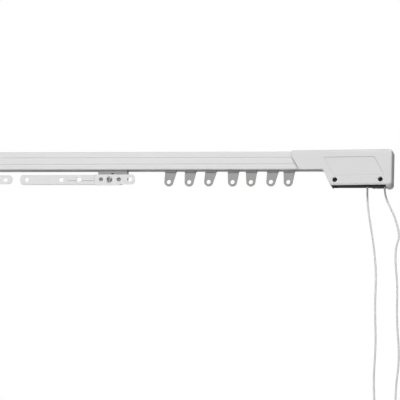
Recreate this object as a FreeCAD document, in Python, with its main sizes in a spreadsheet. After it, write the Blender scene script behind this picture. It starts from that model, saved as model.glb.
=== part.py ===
import FreeCAD, Part
import math
import os
import Sketcher

# Cord drawn curtain track that parts in the middle, on two wall brackets
# Track coordinates, in mm: s runs along the track from its middle, positive to the right;
# d runs back from the front face towards the wall; z runs up from the underside.
# The model's origin is the middle of the right wall bracket's screw holes, on the wall.

doc = FreeCAD.newDocument("CurtainTrack")
V = FreeCAD.Vector

SIZES = {
    # Track sections: the right one is the outer, and the left one slides inside it
    "half_length": 577,
    "rod_height": 28,
    "rod_depth": 20,
    "rod_sheet": 0.7,
    "rod_fit": 0.3,
    "rod_corner": 2.2,
    "rod_end_inset": 61,
    "outer_reach": 73,
    "inner_reach": 73,
    "bead_high": 18,
    "bead_low": 8,
    "bead_width": 2.4,
    "bead_depth": 0.4,
    "slot_front": 2.8,
    "slot_rear": 8.6,
    "neck_play": 0.4,
    "run_gap": 0.3,
    # End covers
    "cover_length": 153,
    "cover_wall": 1.5,
    "cover_flare": 9.6,
    "cover_overlap": 0.6,
    "cover_slant_high": 20,
    "cover_slant_run": 12,
    "lobe_inset": 105,
    "lobe_slant": 13,
    "lobe_drop": 27,
    "cover_round": 6,
    "cover_end_round": 3,
    "cover_top_round": 4.5,
    "mouth_inset": 9,
    "panel_inset": 104,
    "panel_length": 93,
    "panel_lean": 16,
    "panel_low": -9.9,
    "panel_high": 18.1,
    "panel_depth": 0.5,
    # Screws that hold the covers
    "near_screw_inset": 86.3,
    "far_screw_inset": 17.2,
    "cover_screw_z": -16.5,
    "screw_well": 3.75,
    "screw_well_wall": 1.5,
    "cover_screw_head": 3.1,
    "cover_screw_head_height": 2.4,
    "cover_screw_shank": 1.5,
    "cover_screw_reach": 4.2,
    "screw_clearance": 0.1,
    # Pulley housings
    "housing_end_play": 2,
    "housing_cheek": 2.8,
    "housing_wall": 3,
    "housing_back_inset": 4.8,
    "housing_top_inset": 1,
    "housing_neck": -2.5,
    "housing_floor_play": 0.5,
    "housing_round": 3,
    "housing_lobe_inset": 85,
    "housing_neck_inset": 99,
    "housing_shelf_inset": 87,
    "cheek_top": -6,
    "shelf_thickness": 2.5,
    "plug_length": 27,
    "plug_overlap": 4,
    "plug_thickness": 4.7,
    "plug_low": 4,
    "plug_play": 0.4,
    "boss_radius": 3.2,
    "cord_hole_play": 0.7,
    "hook_slot_play": 0.1,
    "hook_slot_side_play": 0.5,
    # Cord and pulleys
    "cord_radius": 1.5,
    "cord_sides": 8,
    "cord_depth": 10.5,
    "upper_run_inset": 5,
    "front_drop_inset": 12.8,
    "rear_drop_inset": 38.8,
    "pulley_pitch": 6,
    "pulley_rim": 8,
    "groove_play": 0.3,
    "pulley_width": 6,
    "pulley_rim_width": 0.6,
    "pulley_root_width": 3.6,
    "pulley_side_play": 0.3,
    "axle_radius": 1.5,
    "axle_play": 0.06,
    "axle_head": 3,
    "axle_head_thickness": 1.2,
    "press_play": 0.02,
    # Carriers: a runner on the track's lips and an eye that swings on its pin
    "runner_half": 8.7,
    "runner_head_half": 8,
    "runner_head_rear": 11,
    "runner_head_top": 5,
    "runner_cheek": 1.2,
    "runner_collar_top": -0.3,
    "runner_drop": 2.6,
    "crown_room": 0.3,
    "pin_z": -0.6,
    "pin_radius": 1.1,
    "pin_play": 0.15,
    "eye_thickness": 2,
    "eye_crown": 3,
    "eye_crown_half": 1.6,
    "eye_crown_top": 2.5,
    "eye_shoulder_half": 8.7,
    "eye_shoulder": 1.5,
    "eye_length": 17.4,
    "eye_round": 6.8,
    "hook_hole": 3.3,
    # Master slides, their plates and the arms that overlap in the middle
    "master_place": 151.2,
    "master_left": 24,
    "master_right": 21.2,
    "master_top": -0.5,
    "master_drop": 17,
    "master_rear": 13,
    "master_wall": 2,
    "master_boss_half": 5,
    "master_core_front": 7,
    "notch_left": -3.7,
    "notch_right": 1.8,
    "notch_high": -4.5,
    "notch_low": -7.4,
    "notch_depth": 5,
    "master_head_half": 21,
    "master_neck_half": 19,
    "master_head_top": 5.5,
    "riser_half": 9,
    "riser_front": 7.6,
    "riser_rear": 13.4,
    "clamp_half": 6,
    "clamp_roof": 1.2,
    "clamp_play": 0.2,
    "cord_play": 0.3,
    "pillar_front": 12.6,
    "pillar_rear": 15.6,
    "pillar_shelf": 3.7,
    "plate_front": 0.8,
    "plate_sheet": 1.2,
    "plate_top": -6.9,
    "plate_bottom": -23.4,
    "plate_lip": -22,
    "plate_left": 28.8,
    "plate_right": 33.3,
    "bulge_left": 25.7,
    "bulge_right": 8,
    "bulge_slope": 4,
    "plate_round": 5,
    "arm_tip": 6.4,
    "arm_end": 165,
    "arm_top": -7.3,
    "arm_bottom": -22.4,
    "arm_round": 5,
    "arm_return": 3,
    "arm_gap": 0.3,
    "arm_step": 2.2,
    "arm_bead_start": 81,
    "arm_bead_end": 120,
    "arm_bead_half": 1.9,
    "arm_bead_height": 0.75,
    "arm_bead_break": 5,
    "arm_tip_hole_place": 17,
    "arm_square_place": 70.5,
    "arm_square_half": 3.05,
    "arm_round_hole_place": 98.2,
    "arm_hole": 3.35,
    "arm_hole_z": -14.6,
    "plate_screw_inset": 5.7,
    "plate_screw_head": 4.1,
    "plate_screw_head_height": 2.4,
    "plate_screw_shank": 2,
    "plate_screw_length": 8,
    "plate_hole": 3.2,
    "plate_hole_near": 18.9,
    "plate_hole_far": 8.7,
    "plate_end_hole": 3.6,
    "plate_end_hole_place": 25.5,
    # Wall brackets
    "front_reach": 64,
    "bracket_inset": 27,
    "bracket_z": 4,
    "bracket_width": 24,
    "bracket_height": 44,
    "bracket_sheet": 2,
    "bracket_screw_spacing": 32,
    "bracket_screw_hole": 2.5,
    "bracket_round": 3,
    "tongue_width": 14,
    "tongue_z": -7,
    "tongue_hook": 6,
    "hook_sheet": 1.2,
    "hook_play": 0.2,
    "gusset_sheet": 1.5,
    "gusset_height": 12,
    "gusset_start": 24,
    # Free cord: two drops and the rest of the loop put away in a tied hank
    "hank_shift": 33.8,
    "hank_top": -392,
    "hank_run": 60,
    "hank_inward_turns": 2,
    "hank_radius": 15.5,
    "hank_gap": 0.5,
    "hank_layer_gap": 0.6,
    "tie_play": 0.3,
    "tie_sheet": 1,
    "tie_height": 9,
    "tie_round": 1.5,
}

# Share of half the track where each carrier stands, and how far its eye leans, in degrees
CARRIERS = [
    (0.4147, 9.9),
    (0.4669, 6.6),
    (0.5213, 11.3),
    (0.5806, 3.6),
    (0.6282, 2.0),
    (0.6849, 9.3),
    (0.7281, 4.3),
]
for number, (share, lean) in enumerate(CARRIERS, start=1):
    SIZES[f"carrier_{number}_share"] = share
    SIZES[f"carrier_{number}_lean"] = lean

sheet = doc.addObject("Spreadsheet::Sheet", "Sizes")
for row, (alias, number) in enumerate(SIZES.items(), start=1):
    sheet.set(f"A{row}", alias)
    sheet.set(f"B{row}", str(number))
    sheet.setAlias(f"B{row}", alias)
doc.recompute()


class Size:
    """A length with its number and the expression that ties it to the sheet."""

    def __init__(self, number, text):
        self.number = number
        self.text = text

    def __add__(self, other):
        other = as_size(other)
        return Size(self.number + other.number, f"({self.text} + {other.text})")

    def __sub__(self, other):
        other = as_size(other)
        return Size(self.number - other.number, f"({self.text} - {other.text})")

    def __mul__(self, other):
        other = as_size(other)
        return Size(self.number * other.number, f"({self.text} * {other.text})")

    def __truediv__(self, other):
        other = as_size(other)
        return Size(self.number / other.number, f"({self.text} / {other.text})")

    def __neg__(self):
        return Size(-self.number, f"(0 - {self.text})")

    __radd__ = __add__
    __rmul__ = __mul__

    def __rsub__(self, other):
        return as_size(other) - self


def as_size(value):
    return value if isinstance(value, Size) else Size(float(value), f"({float(value)})")


def root_of_squares(one, other):
    one, other = as_size(one), as_size(other)
    text = f"sqrt({one.text} * {one.text} + {other.text} * {other.text})"
    return Size(math.hypot(one.number, other.number), text)


class Sheet:
    """Reads a named size from the spreadsheet."""

    def __getattr__(self, alias):
        return Size(float(sheet.get(alias)), f"Sizes.{alias}")


S = Sheet()
bracket_place = S.half_length - S.bracket_inset
PLANES = {"s": "YZ_Plane", "d": "XZ_Plane", "z": "XY_Plane"}
ORIGIN = -1
FIRST = 1
SECOND = 2
CENTRE = 3
# Least volume that a cut must take, and how near an edge must pass to a named place
LEAST_CUT = 0.001
NEAR = 0.35


def new_body(label):
    body = doc.addObject("PartDesign::Body", label)
    body.Label = label
    return body


def new_sketch(body, axis, at):
    """A sketch square to an axis, on the body's own plane moved to a place along it."""
    sketch = body.newObject("Sketcher::SketchObject", f"{body.Name}_sketch")
    plane = next(f for f in body.Origin.OriginFeatures if f.Role == PLANES[axis])
    sketch.AttachmentSupport = (plane, [""])
    sketch.MapMode = "FlatFace"
    place = -as_size(at) if axis == "d" else as_size(at)
    sketch.setExpression("AttachmentOffset.Base.z", place.text)
    return sketch


def pin_point(sketch, geometry, point, x, y):
    """Holds a point of a sketch at two sizes from the sketch's origin."""
    for kind, size in (("DistanceX", as_size(x)), ("DistanceY", as_size(y))):
        rule = Sketcher.Constraint(kind, ORIGIN, 1, geometry, point, size.number)
        sketch.setExpression(f"Constraints[{sketch.addConstraint(rule)}]", size.text)


def draw_outline(sketch, points):
    """A closed outline of straight lines."""
    sizes = [(as_size(x), as_size(y)) for x, y in points]
    ends = [V(x.number, y.number, 0) for x, y in sizes]
    count = len(ends)
    lines = [
        sketch.addGeometry(Part.LineSegment(ends[i], ends[(i + 1) % count]), False)
        for i in range(count)
    ]
    for i in range(count):
        joint = Sketcher.Constraint("Coincident", lines[i], SECOND, lines[(i + 1) % count], FIRST)
        sketch.addConstraint(joint)
    for line, (x, y) in zip(lines, sizes):
        pin_point(sketch, line, FIRST, x, y)


def draw_circle(sketch, x, y, radius):
    middle = V(as_size(x).number, as_size(y).number, 0)
    radius = as_size(radius)
    ring = sketch.addGeometry(Part.Circle(middle, V(0, 0, 1), radius.number), False)
    pin_point(sketch, ring, CENTRE, x, y)
    rule = Sketcher.Constraint("Radius", ring, radius.number)
    sketch.setExpression(f"Constraints[{sketch.addConstraint(rule)}]", radius.text)


def draw(sketch, shapes):
    """Each shape is a list of corners, or a tuple of a circle's middle and radius."""
    for shape in shapes:
        if isinstance(shape, tuple):
            draw_circle(sketch, *shape)
        else:
            draw_outline(sketch, shape)


def extrude(body, kind, axis, low, high, shapes):
    """A pad or pocket between two places along an axis."""
    low, high = as_size(low), as_size(high)
    sketch = new_sketch(body, axis, high if axis == "d" else low)
    draw(sketch, shapes)
    feature = body.newObject(f"PartDesign::{kind}", f"{body.Name}_{kind.lower()}")
    feature.Profile = sketch
    feature.Reversed = kind == "Pocket"
    feature.setExpression("Length", (high - low).text)
    doc.recompute()
    return feature


def pad(body, axis, low, high, *shapes):
    return extrude(body, "Pad", axis, low, high, shapes)


def pocket(body, axis, low, high, *shapes):
    before = body.Shape.Volume
    feature = extrude(body, "Pocket", axis, low, high, shapes)
    if not body.Shape.Volume < before - LEAST_CUT:
        raise RuntimeError(f"{body.Label}: a pocket cuts nothing")
    return feature


def box(x0, y0, x1, y1):
    return [(x0, y0), (x1, y0), (x1, y1), (x0, y1)]


def edges_along(body, axis, places):
    """Names of the straight edges along an axis that pass near the places given."""
    index = {"s": 0, "d": 1, "z": 2}[axis]
    others = [i for i in range(3) if i != index]
    names = []
    for number, edge in enumerate(body.Shape.Edges, start=1):
        start, end = edge.Vertexes[0].Point, edge.Vertexes[-1].Point
        reach = end - start
        straight = reach.Length > 0.999 * edge.Length > 0.01
        if not straight or abs(reach[index]) < 0.99 * edge.Length:
            continue
        middle = (start + end) * 0.5
        for place in places:
            near = [abs(middle[i] - as_size(p).number) for i, p in zip(others, place)]
            if max(near) < NEAR:
                names.append(f"Edge{number}")
    return names


def soften(body, kind, size, names, key="Radius"):
    """A fillet, or a chamfer, on the edges named."""
    if not names:
        raise RuntimeError(f"{body.Label}: no edge to soften")
    feature = body.newObject(f"PartDesign::{kind}", f"{body.Name}_{kind.lower()}")
    feature.Base = (body.Tip if body.Tip != feature else feature.BaseFeature, names)
    feature.setExpression(key, as_size(size).text)
    doc.recompute()
    return feature


def round_edges(body, radius, axis, *places):
    return soften(body, "Fillet", radius, edges_along(body, axis, places))


def place_in_track(body, s=0, z=0):
    """Moves a body from its own origin to its place, seen from the wall bracket."""
    spot = {
        "x": as_size(s) - bracket_place,
        "y": -S.front_reach,
        "z": as_size(z) - S.bracket_z,
    }
    for axis, size in spot.items():
        body.setExpression(f"Placement.Base.{axis}", size.text)


parts = []


def finish(body, s=0, z=0):
    place_in_track(body, s, z)
    parts.append(body)
    return body


# Track sections

def rod_side(offset):
    """One side of the folded strip, an even distance inside the outer section's skin."""
    o = as_size(offset)
    top = S.rod_height - o
    rear = S.rod_depth - o
    half = S.bead_width / 2
    flat = S.bead_width / 4
    side = [(S.slot_front, o), (o, o)]
    for bead in (S.bead_low, S.bead_high):
        side += [
            (o, bead - half),
            (o + S.bead_depth, bead - flat),
            (o + S.bead_depth, bead + flat),
            (o, bead + half),
        ]
    return side + [(o, top), (rear, top), (rear, o), (S.slot_rear, o)]


def make_rod(label, offset, low, high):
    """A folded steel strip: front face with two beads, top, back and a slotted underside."""
    body = new_body(label)
    skin = as_size(offset)
    core = skin + S.rod_sheet
    pad(body, "s", low, high, rod_side(skin) + rod_side(core)[::-1])
    for inset in (skin, core):
        low_z, high_z = inset, S.rod_height - inset
        rear = S.rod_depth - inset
        corners = [(inset, low_z), (inset, high_z), (rear, low_z), (rear, high_z)]
        round_edges(body, S.rod_corner - inset, "s", *corners)
    return finish(body)


rod_end = S.half_length - S.rod_end_inset
inner_skin = S.rod_sheet + S.rod_fit
inner_clear = inner_skin + S.rod_sheet + S.run_gap
make_rod("outer_track", 0, -S.outer_reach, rod_end)
make_rod("inner_track", inner_skin, -rod_end, S.inner_reach)


# End covers: a moulded shell that flares forward, with a lobe that the cords leave by

def mirrored(hand, shape):
    """A shape in s for either end of the track."""
    if isinstance(shape, tuple):
        return (shape[0] * hand, shape[1], shape[2])
    return [(as_size(x) * hand, y) for x, y in shape]


def span(hand, near, far):
    """The low and high ends of a stretch of s for either end of the track."""
    near, far = as_size(near), as_size(far)
    return (near, far) if hand > 0 else (-far, -near)


cover_start = S.half_length - S.cover_length
cover_gap = S.run_gap + S.cover_wall
cover_top = S.rod_height + cover_gap
cover_inside = S.half_length - S.cover_wall
cover_rear = S.rod_depth + S.cover_overlap
lobe_start = S.half_length - S.lobe_inset
lobe_corner = lobe_start + S.lobe_slant
screw_places = (S.half_length - S.near_screw_inset, S.half_length - S.far_screw_inset)
flare_angle = math.degrees(math.atan2(S.cover_flare.number, S.cover_length.number))


def cover_front(s):
    """Depth of the cover's sloping front at a place along the track."""
    return -cover_gap - (as_size(s) - cover_start) * S.cover_flare / S.cover_length


def cover_inner_front(s):
    return cover_front(s) + S.cover_wall


def sloped_block(body, hand, outline, front, rear, start, end):
    """An upright outline made solid, with its front cut along the cover's slope."""
    foremost = front(end)
    pad(body, "d", foremost, rear, mirrored(hand, outline))
    slope = [(start, foremost), (end, foremost), (start, front(start))]
    heights = [as_size(y) for x, y in outline]
    low = min(heights, key=lambda size: size.number)
    high = max(heights, key=lambda size: size.number)
    pocket(body, "z", low, high, mirrored(hand, slope))


def cover_skin(label, hand):
    """The outside of the cover."""
    body = new_body(f"{label}_skin")
    outline = [
        (cover_start, cover_top),
        (cover_start, S.cover_slant_high),
        (cover_start + S.cover_slant_run, 0),
        (lobe_start, 0),
        (lobe_corner, -S.lobe_drop),
        (S.half_length, -S.lobe_drop),
        (S.half_length, cover_top),
    ]
    sloped_block(body, hand, outline, cover_front, cover_rear, cover_start, S.half_length)
    end = S.half_length * hand
    round_edges(body, S.cover_end_round, "z", (end, cover_front(S.half_length)))
    low_corners = [(end, -S.lobe_drop), (lobe_corner * hand, -S.lobe_drop)]
    round_edges(body, S.cover_round, "d", *low_corners)
    round_edges(body, S.cover_top_round, "d", (end, cover_top))
    return body


def cover_room(label, hand):
    """The room inside the cover, open at the back, round the track and under the lobe."""
    body = new_body(f"{label}_room")
    beyond = S.cover_wall
    floor = -S.lobe_drop + S.cover_wall
    below = -S.lobe_drop - beyond
    lean = S.cover_wall * root_of_squares(1, S.lobe_slant / S.lobe_drop)
    lobe_inner = lobe_start + lean
    lobe_end = lobe_inner - below * S.lobe_slant / S.lobe_drop
    ceiling = S.rod_height + S.run_gap
    start = cover_start - beyond
    outline = [
        (start, ceiling),
        (start, 0),
        (lobe_inner, 0),
        (lobe_end, below),
        (S.half_length - S.mouth_inset, below),
        (S.half_length - S.mouth_inset, floor),
        (cover_inside, floor),
        (cover_inside, ceiling),
    ]
    rear = cover_rear + beyond
    sloped_block(body, hand, outline, cover_inner_front, rear, start, cover_inside)
    bend = S.cover_round - S.cover_wall
    end_bend = S.cover_end_round - S.cover_wall
    inside = cover_inside * hand
    round_edges(body, end_bend, "z", (inside, cover_inner_front(cover_inside)))
    round_edges(body, bend, "d", (inside, floor))
    round_edges(body, S.cover_top_round - S.cover_wall, "d", (inside, ceiling))
    return body


def cover_panel(label, hand):
    """A shallow slanted panel, pressed square into the sloping front."""
    body = new_body(f"{label}_panel")
    sketch = new_sketch(body, "d", 0)
    deepest = cover_gap - S.panel_depth
    sketch.AttachmentOffset = FreeCAD.Placement(
        V(cover_start.number * hand, 0, deepest.number),
        FreeCAD.Rotation(V(0, 1, 0), -flare_angle * hand),
    )
    sketch.setExpression("AttachmentOffset.Base.z", deepest.text)
    start = S.cover_length - S.panel_inset
    corners = [
        (start, S.panel_high),
        (start + S.panel_lean, S.panel_low),
        (start + S.panel_length, S.panel_low),
        (start + S.panel_length - S.panel_lean, S.panel_high),
    ]
    draw(sketch, [mirrored(hand, corners)])
    feature = body.newObject("PartDesign::Pad", f"{label}_panel_pad")
    feature.Profile = sketch
    feature.setExpression("Length", (S.panel_depth + S.cover_wall).text)
    doc.recompute()
    return body


def pin_along_d(label, hand, s, z, radius, low, high):
    """A round bar that runs from front to back."""
    pin = doc.addObject("Part::Cylinder", label)
    low, high = as_size(low), as_size(high)
    pin.setExpression("Radius", as_size(radius).text)
    pin.setExpression("Height", (high - low).text)
    pin.Placement = FreeCAD.Placement(V(0, 0, 0), FreeCAD.Rotation(V(1, 0, 0), -90))
    spot = {"x": as_size(s) * hand, "y": low, "z": as_size(z)}
    for axis, size in spot.items():
        pin.setExpression(f"Placement.Base.{axis}", size.text)
    return pin


def combine(kind, label, base, tools):
    """Joins shapes, or takes the tools away from the base."""
    result = doc.addObject(f"Part::{kind}", label)
    if kind == "Cut":
        result.Base = base
        result.Tool = tools[0]
        if len(tools) > 1:
            taken = doc.addObject("Part::MultiFuse", f"{label}_taken")
            taken.Shapes = tools
            result.Tool = taken
    else:
        result.Shapes = [base, *tools]
    result.Label = label
    doc.recompute()
    return result


def make_cover(label, hand):
    """A moulded shell with two deep round wells, whose floors carry the screws' heads."""
    skin = cover_skin(label, hand)
    room = cover_room(label, hand)
    shell = combine("Cut", f"{label}_shell", skin, [room])
    rest = S.housing_cheek
    bore = S.cover_screw_shank + S.screw_clearance
    posts, wells = [], []
    for number, place in enumerate(screw_places, start=1):
        name = f"{label}_well_{number}"
        at = (hand, place, S.cover_screw_z)
        inside = cover_front(place) + S.cover_wall / 2
        outside = cover_front(place) - S.cover_wall
        floor = rest - S.cover_wall
        rim = S.screw_well + S.screw_well_wall
        posts.append(pin_along_d(f"{name}_post", *at, rim, inside, rest))
        wells.append(pin_along_d(f"{name}_bore", *at, S.screw_well, outside, floor))
        wells.append(pin_along_d(f"{name}_hole", *at, bore, inside, rest + S.cover_wall))
    body = combine("MultiFuse", f"{label}_with_posts", shell, posts)
    panel = cover_panel(label, hand)
    return finish(combine("Cut", label, body, [panel, *wells]))


for side, hand in (("right", 1), ("left", -1)):
    make_cover(f"{side}_end_cover", hand)


# Pulley housings: a back plate that plugs into the track, a low front cheek and a shelf

housing_end = cover_inside - S.housing_end_play
housing_back = S.rod_depth - S.housing_back_inset
housing_rear = housing_back + S.housing_wall
housing_floor = S.cover_wall - S.lobe_drop + S.housing_floor_play
shelf_start = S.half_length - S.housing_shelf_inset
front_drop = S.half_length - S.front_drop_inset
rear_drop = S.half_length - S.rear_drop_inset
upper_run = S.rod_height - S.upper_run_inset
lower_run = upper_run - S.pulley_pitch * 2
front_axle = (front_drop - S.pulley_pitch, upper_run - S.pulley_pitch)
rear_axle = (rear_drop - S.pulley_pitch, lower_run - S.pulley_pitch)
axles = {"right": (front_axle, rear_axle), "left": (front_axle,)}
pulley_rear = S.cord_depth + S.pulley_width / 2
axle_bore = S.axle_radius + S.axle_play
slot_top = S.tongue_z + S.bracket_sheet + S.hook_slot_play
slot_bottom = slot_top - S.tongue_hook - 2 * S.hook_slot_play
slot_half = S.tongue_width / 2 + S.hook_slot_side_play
cheek_rear = S.housing_cheek + S.housing_wall


def make_housing(label, hand, skin):
    """The moulded housing that closes an end of the track."""
    body = new_body(label)
    low = S.housing_neck
    high = S.rod_height - S.housing_top_inset
    plate = [
        (S.half_length - S.housing_neck_inset, low),
        (S.half_length - S.housing_lobe_inset, housing_floor),
        (housing_end, housing_floor),
        (housing_end, high),
        (rod_end + S.housing_wall, high),
        (rod_end + S.housing_wall, low),
    ]
    pad(body, "d", housing_back, housing_rear, mirrored(hand, plate))
    plug_rear = S.rod_depth - skin - S.rod_sheet - S.plug_play
    plug_top = S.rod_height - skin - S.rod_sheet - S.plug_play
    plug_start = rod_end - S.plug_length
    plug_end = rod_end + S.housing_wall + S.plug_overlap
    plug = box(plug_start, S.plug_low, plug_end, plug_top)
    pad(body, "d", plug_rear - S.plug_thickness, plug_rear, mirrored(hand, plug))
    round_edges(body, S.rod_corner - skin - S.rod_sheet, "s", (plug_rear, plug_top))
    shelf = box(shelf_start, housing_floor, housing_end, housing_floor + S.shelf_thickness)
    pad(body, "d", S.housing_cheek, housing_rear, mirrored(hand, shelf))
    wall = box(housing_end - S.shelf_thickness, housing_floor, housing_end, high)
    pad(body, "d", S.housing_cheek, housing_rear, mirrored(hand, wall))
    cheek = box(shelf_start, housing_floor, housing_end, S.cheek_top)
    pad(body, "d", S.housing_cheek, cheek_rear, mirrored(hand, cheek))
    side = "right" if hand > 0 else "left"
    bosses = [mirrored(hand, (s, z, S.boss_radius)) for s, z in axles[side]]
    pad(body, "d", pulley_rear + S.pulley_side_play, housing_back + S.press_play, *bosses)
    round_edges(body, S.housing_round, "d", (housing_end * hand, housing_floor))
    pin_hole = S.axle_radius + S.press_play
    holes = [mirrored(hand, (s, z, pin_hole)) for s, z in axles[side]]
    pocket(body, "d", pulley_rear, housing_rear, *holes)
    pilot = S.cover_screw_shank + S.screw_clearance
    pilots = [mirrored(hand, (s, S.cover_screw_z, pilot)) for s in screw_places]
    pocket(body, "d", S.housing_cheek, cheek_rear, *pilots)
    if hand > 0:
        cord_hole = S.cord_radius + S.cord_hole_play
        drops = [(s, S.cord_depth, cord_hole) for s in (rear_drop, front_drop)]
        pocket(body, "z", housing_floor, housing_floor + S.shelf_thickness, *drops)
    slot = box(bracket_place - slot_half, slot_bottom, bracket_place + slot_half, slot_top)
    pocket(body, "d", housing_back, housing_rear, mirrored(hand, slot))
    return finish(body)


make_housing("right_pulley_housing", 1, as_size(0))
make_housing("left_pulley_housing", -1, inner_skin)


# Turned pieces: pulleys, their axle pins and the screws

def turned(label, outline, s=0, z=0):
    """A body turned about an axis along d, from radii and depths."""
    body = new_body(label)
    sketch = new_sketch(body, "z", 0)
    draw(sketch, [outline])
    feature = body.newObject("PartDesign::Revolution", f"{label}_turning")
    feature.Profile = sketch
    feature.ReferenceAxis = (sketch, ["V_Axis"])
    feature.Angle = 360
    doc.recompute()
    body.setExpression("Placement.Base.x", as_size(s).text)
    body.setExpression("Placement.Base.z", as_size(z).text)
    return body


def group(label, bodies, s=0, z=0):
    """Alike pieces kept together under one name."""
    compound = doc.addObject("Part::Compound", label)
    compound.Links = bodies
    doc.recompute()
    return finish(compound, s, z)


def make_pulley(label, s, z):
    """A grooved wheel whose groove holds the cord a little clear of its root."""
    middle = S.cord_depth
    half = S.pulley_width / 2
    rim = half - S.pulley_rim_width
    root = S.pulley_root_width / 2
    root_radius = S.pulley_pitch - S.cord_radius - S.groove_play
    outline = [
        (axle_bore, middle - half),
        (S.pulley_rim, middle - half),
        (S.pulley_rim, middle - rim),
        (root_radius, middle - root),
        (root_radius, middle + root),
        (S.pulley_rim, middle + rim),
        (S.pulley_rim, middle + half),
        (axle_bore, middle + half),
    ]
    return finish(turned(label, outline), s, z)


def make_axle_pin(label, s, z):
    """A headed pin pressed into the housing's back."""
    under = S.cord_depth - S.pulley_width / 2 - S.pulley_side_play
    front = under - S.axle_head_thickness
    outline = [
        (0, front),
        (S.axle_head, front),
        (S.axle_head, under),
        (S.axle_radius, under),
        (S.axle_radius, housing_rear),
        (0, housing_rear),
    ]
    return turned(label, outline, s, z)


def make_screw(label, head, height, shank, under, reach, s=0, z=0):
    """A screw's plain form: its head's underside and its shank's reach are given."""
    outline = [
        (0, under - height),
        (head, under - height),
        (head, under),
        (shank, under),
        (shank, under + reach),
        (0, under + reach),
    ]
    return turned(label, outline, s, z)


make_pulley("right_front_pulley", *front_axle)
make_pulley("right_rear_pulley", *rear_axle)
make_pulley("left_pulley", -front_axle[0], front_axle[1])
pins = [make_axle_pin(f"right_pin_{n}", s, z) for n, (s, z) in enumerate(axles["right"], 1)]
group("right_axle_pins", pins)
finish(make_axle_pin("left_axle_pin", 0, 0), -front_axle[0], front_axle[1])

for side, hand in (("right", 1), ("left", -1)):
    screws = []
    for number, place in enumerate(screw_places, start=1):
        screws.append(make_screw(
            f"{side}_cover_screw_{number}",
            S.cover_screw_head,
            S.cover_screw_head_height,
            S.cover_screw_shank,
            S.housing_cheek - S.cover_wall,
            S.cover_wall + S.cover_screw_reach,
            place * hand,
            S.cover_screw_z,
        ))
    group(f"{side}_cover_screws", screws)


# Master slides with their plates and arms

hole_z = S.arm_hole_z
screw_hole = S.plate_screw_shank + S.screw_clearance
master_floor = -S.master_drop
master_front = S.plate_front + S.plate_sheet * 2
clamp_channel = (S.cord_radius + S.cord_play) * 2


def make_master(label, hand, step):
    """A moulded slide: a head in the track, a hollow block below and a riser to the cord."""
    body = new_body(label)
    front = master_front + step
    block = box(-S.master_left, master_floor, S.master_right, S.master_top)
    pad(body, "d", front, S.master_rear, mirrored(hand, block))
    neck = box(-S.master_neck_half, S.master_top, S.master_neck_half, inner_clear)
    pad(body, "d", S.slot_front + S.neck_play, S.slot_rear - S.neck_play, mirrored(hand, neck))
    head = box(-S.master_head_half, inner_clear, S.master_head_half, S.master_head_top)
    pad(body, "d", inner_clear, S.master_rear, mirrored(hand, head))
    notch = box(S.notch_left, S.notch_low, S.notch_right, S.notch_high)
    pocket(body, "d", front, front + S.notch_depth, mirrored(hand, notch))
    boss_right = -S.plate_screw_inset + S.master_boss_half
    boss_left = -S.plate_screw_inset - S.master_boss_half
    core_low, core_high = master_floor + S.master_wall, S.master_top - S.master_wall
    cores = [
        box(S.master_wall - S.master_left, core_low, boss_left, core_high),
        box(boss_right, core_low, S.master_right - S.master_wall, core_high),
    ]
    core_front = S.master_core_front + step / 2
    pocket(body, "d", core_front, S.master_rear, *[mirrored(hand, core) for core in cores])
    hole = (-S.plate_screw_inset, hole_z, screw_hole)
    depth = S.plate_screw_length + S.cord_play
    pocket(body, "d", front, front + depth, mirrored(hand, hole))
    if hand > 0:
        riser = box(-S.riser_half, S.master_head_top, S.riser_half, clamp_low(lower_run))
        pad(body, "d", S.riser_front, S.riser_rear, riser)
    else:
        foot = box(-S.riser_half, inner_clear, S.riser_half, S.master_head_top)
        pad(body, "d", S.riser_front, S.pillar_rear, foot)
        shelf_top = clamp_low(upper_run)
        pillar = box(-S.riser_half, inner_clear, S.riser_half, shelf_top)
        pad(body, "d", S.pillar_front, S.pillar_rear, pillar)
        shelf = box(-S.riser_half, shelf_top - S.pillar_shelf, S.riser_half, shelf_top)
        pad(body, "d", S.riser_front, S.pillar_rear, shelf)
    return finish(body, S.master_place * hand)


def clamp_low(run):
    return run - S.cord_radius - S.cord_play


def make_clamp(label, hand, run):
    """A saddle that holds the cord down on the master slide."""
    body = new_body(label)
    low = clamp_low(run)
    saddle = box(-S.clamp_half, low, S.clamp_half, low + clamp_channel + S.clamp_roof)
    pad(body, "d", S.riser_front, S.riser_rear, saddle)
    reach = S.cord_radius + S.clamp_play
    channel = box(S.cord_depth - reach, low, S.cord_depth + reach, low + clamp_channel)
    pocket(body, "s", -S.clamp_half, S.clamp_half, channel)
    return finish(body, S.master_place * hand)


def make_plate(label, hand, step):
    """The front plate, with a deeper middle, that the curtain's first hooks hang from."""
    body = new_body(label)
    front = S.plate_front + step
    outline = [
        (-S.plate_left, S.plate_top),
        (S.plate_right, S.plate_top),
        (S.plate_right, S.plate_lip),
        (S.bulge_right + S.bulge_slope, S.plate_lip),
        (S.bulge_right, S.plate_bottom),
        (-S.bulge_left, S.plate_bottom),
        (-S.plate_left, S.plate_lip),
    ]
    pad(body, "d", front, front + S.plate_sheet, mirrored(hand, outline))
    right = S.plate_right * hand
    round_edges(body, S.plate_round, "d", (right, S.plate_top), (right, S.plate_lip))
    holes = [
        (-S.plate_hole_near, hole_z, S.plate_hole),
        (S.plate_hole_far, hole_z, S.plate_hole),
        (-S.plate_screw_inset, hole_z, screw_hole),
        (S.plate_end_hole_place, hole_z, S.plate_end_hole),
    ]
    pocket(body, "d", front, front + S.plate_sheet, *[mirrored(hand, h) for h in holes])
    return finish(body, S.master_place * hand)


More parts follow.
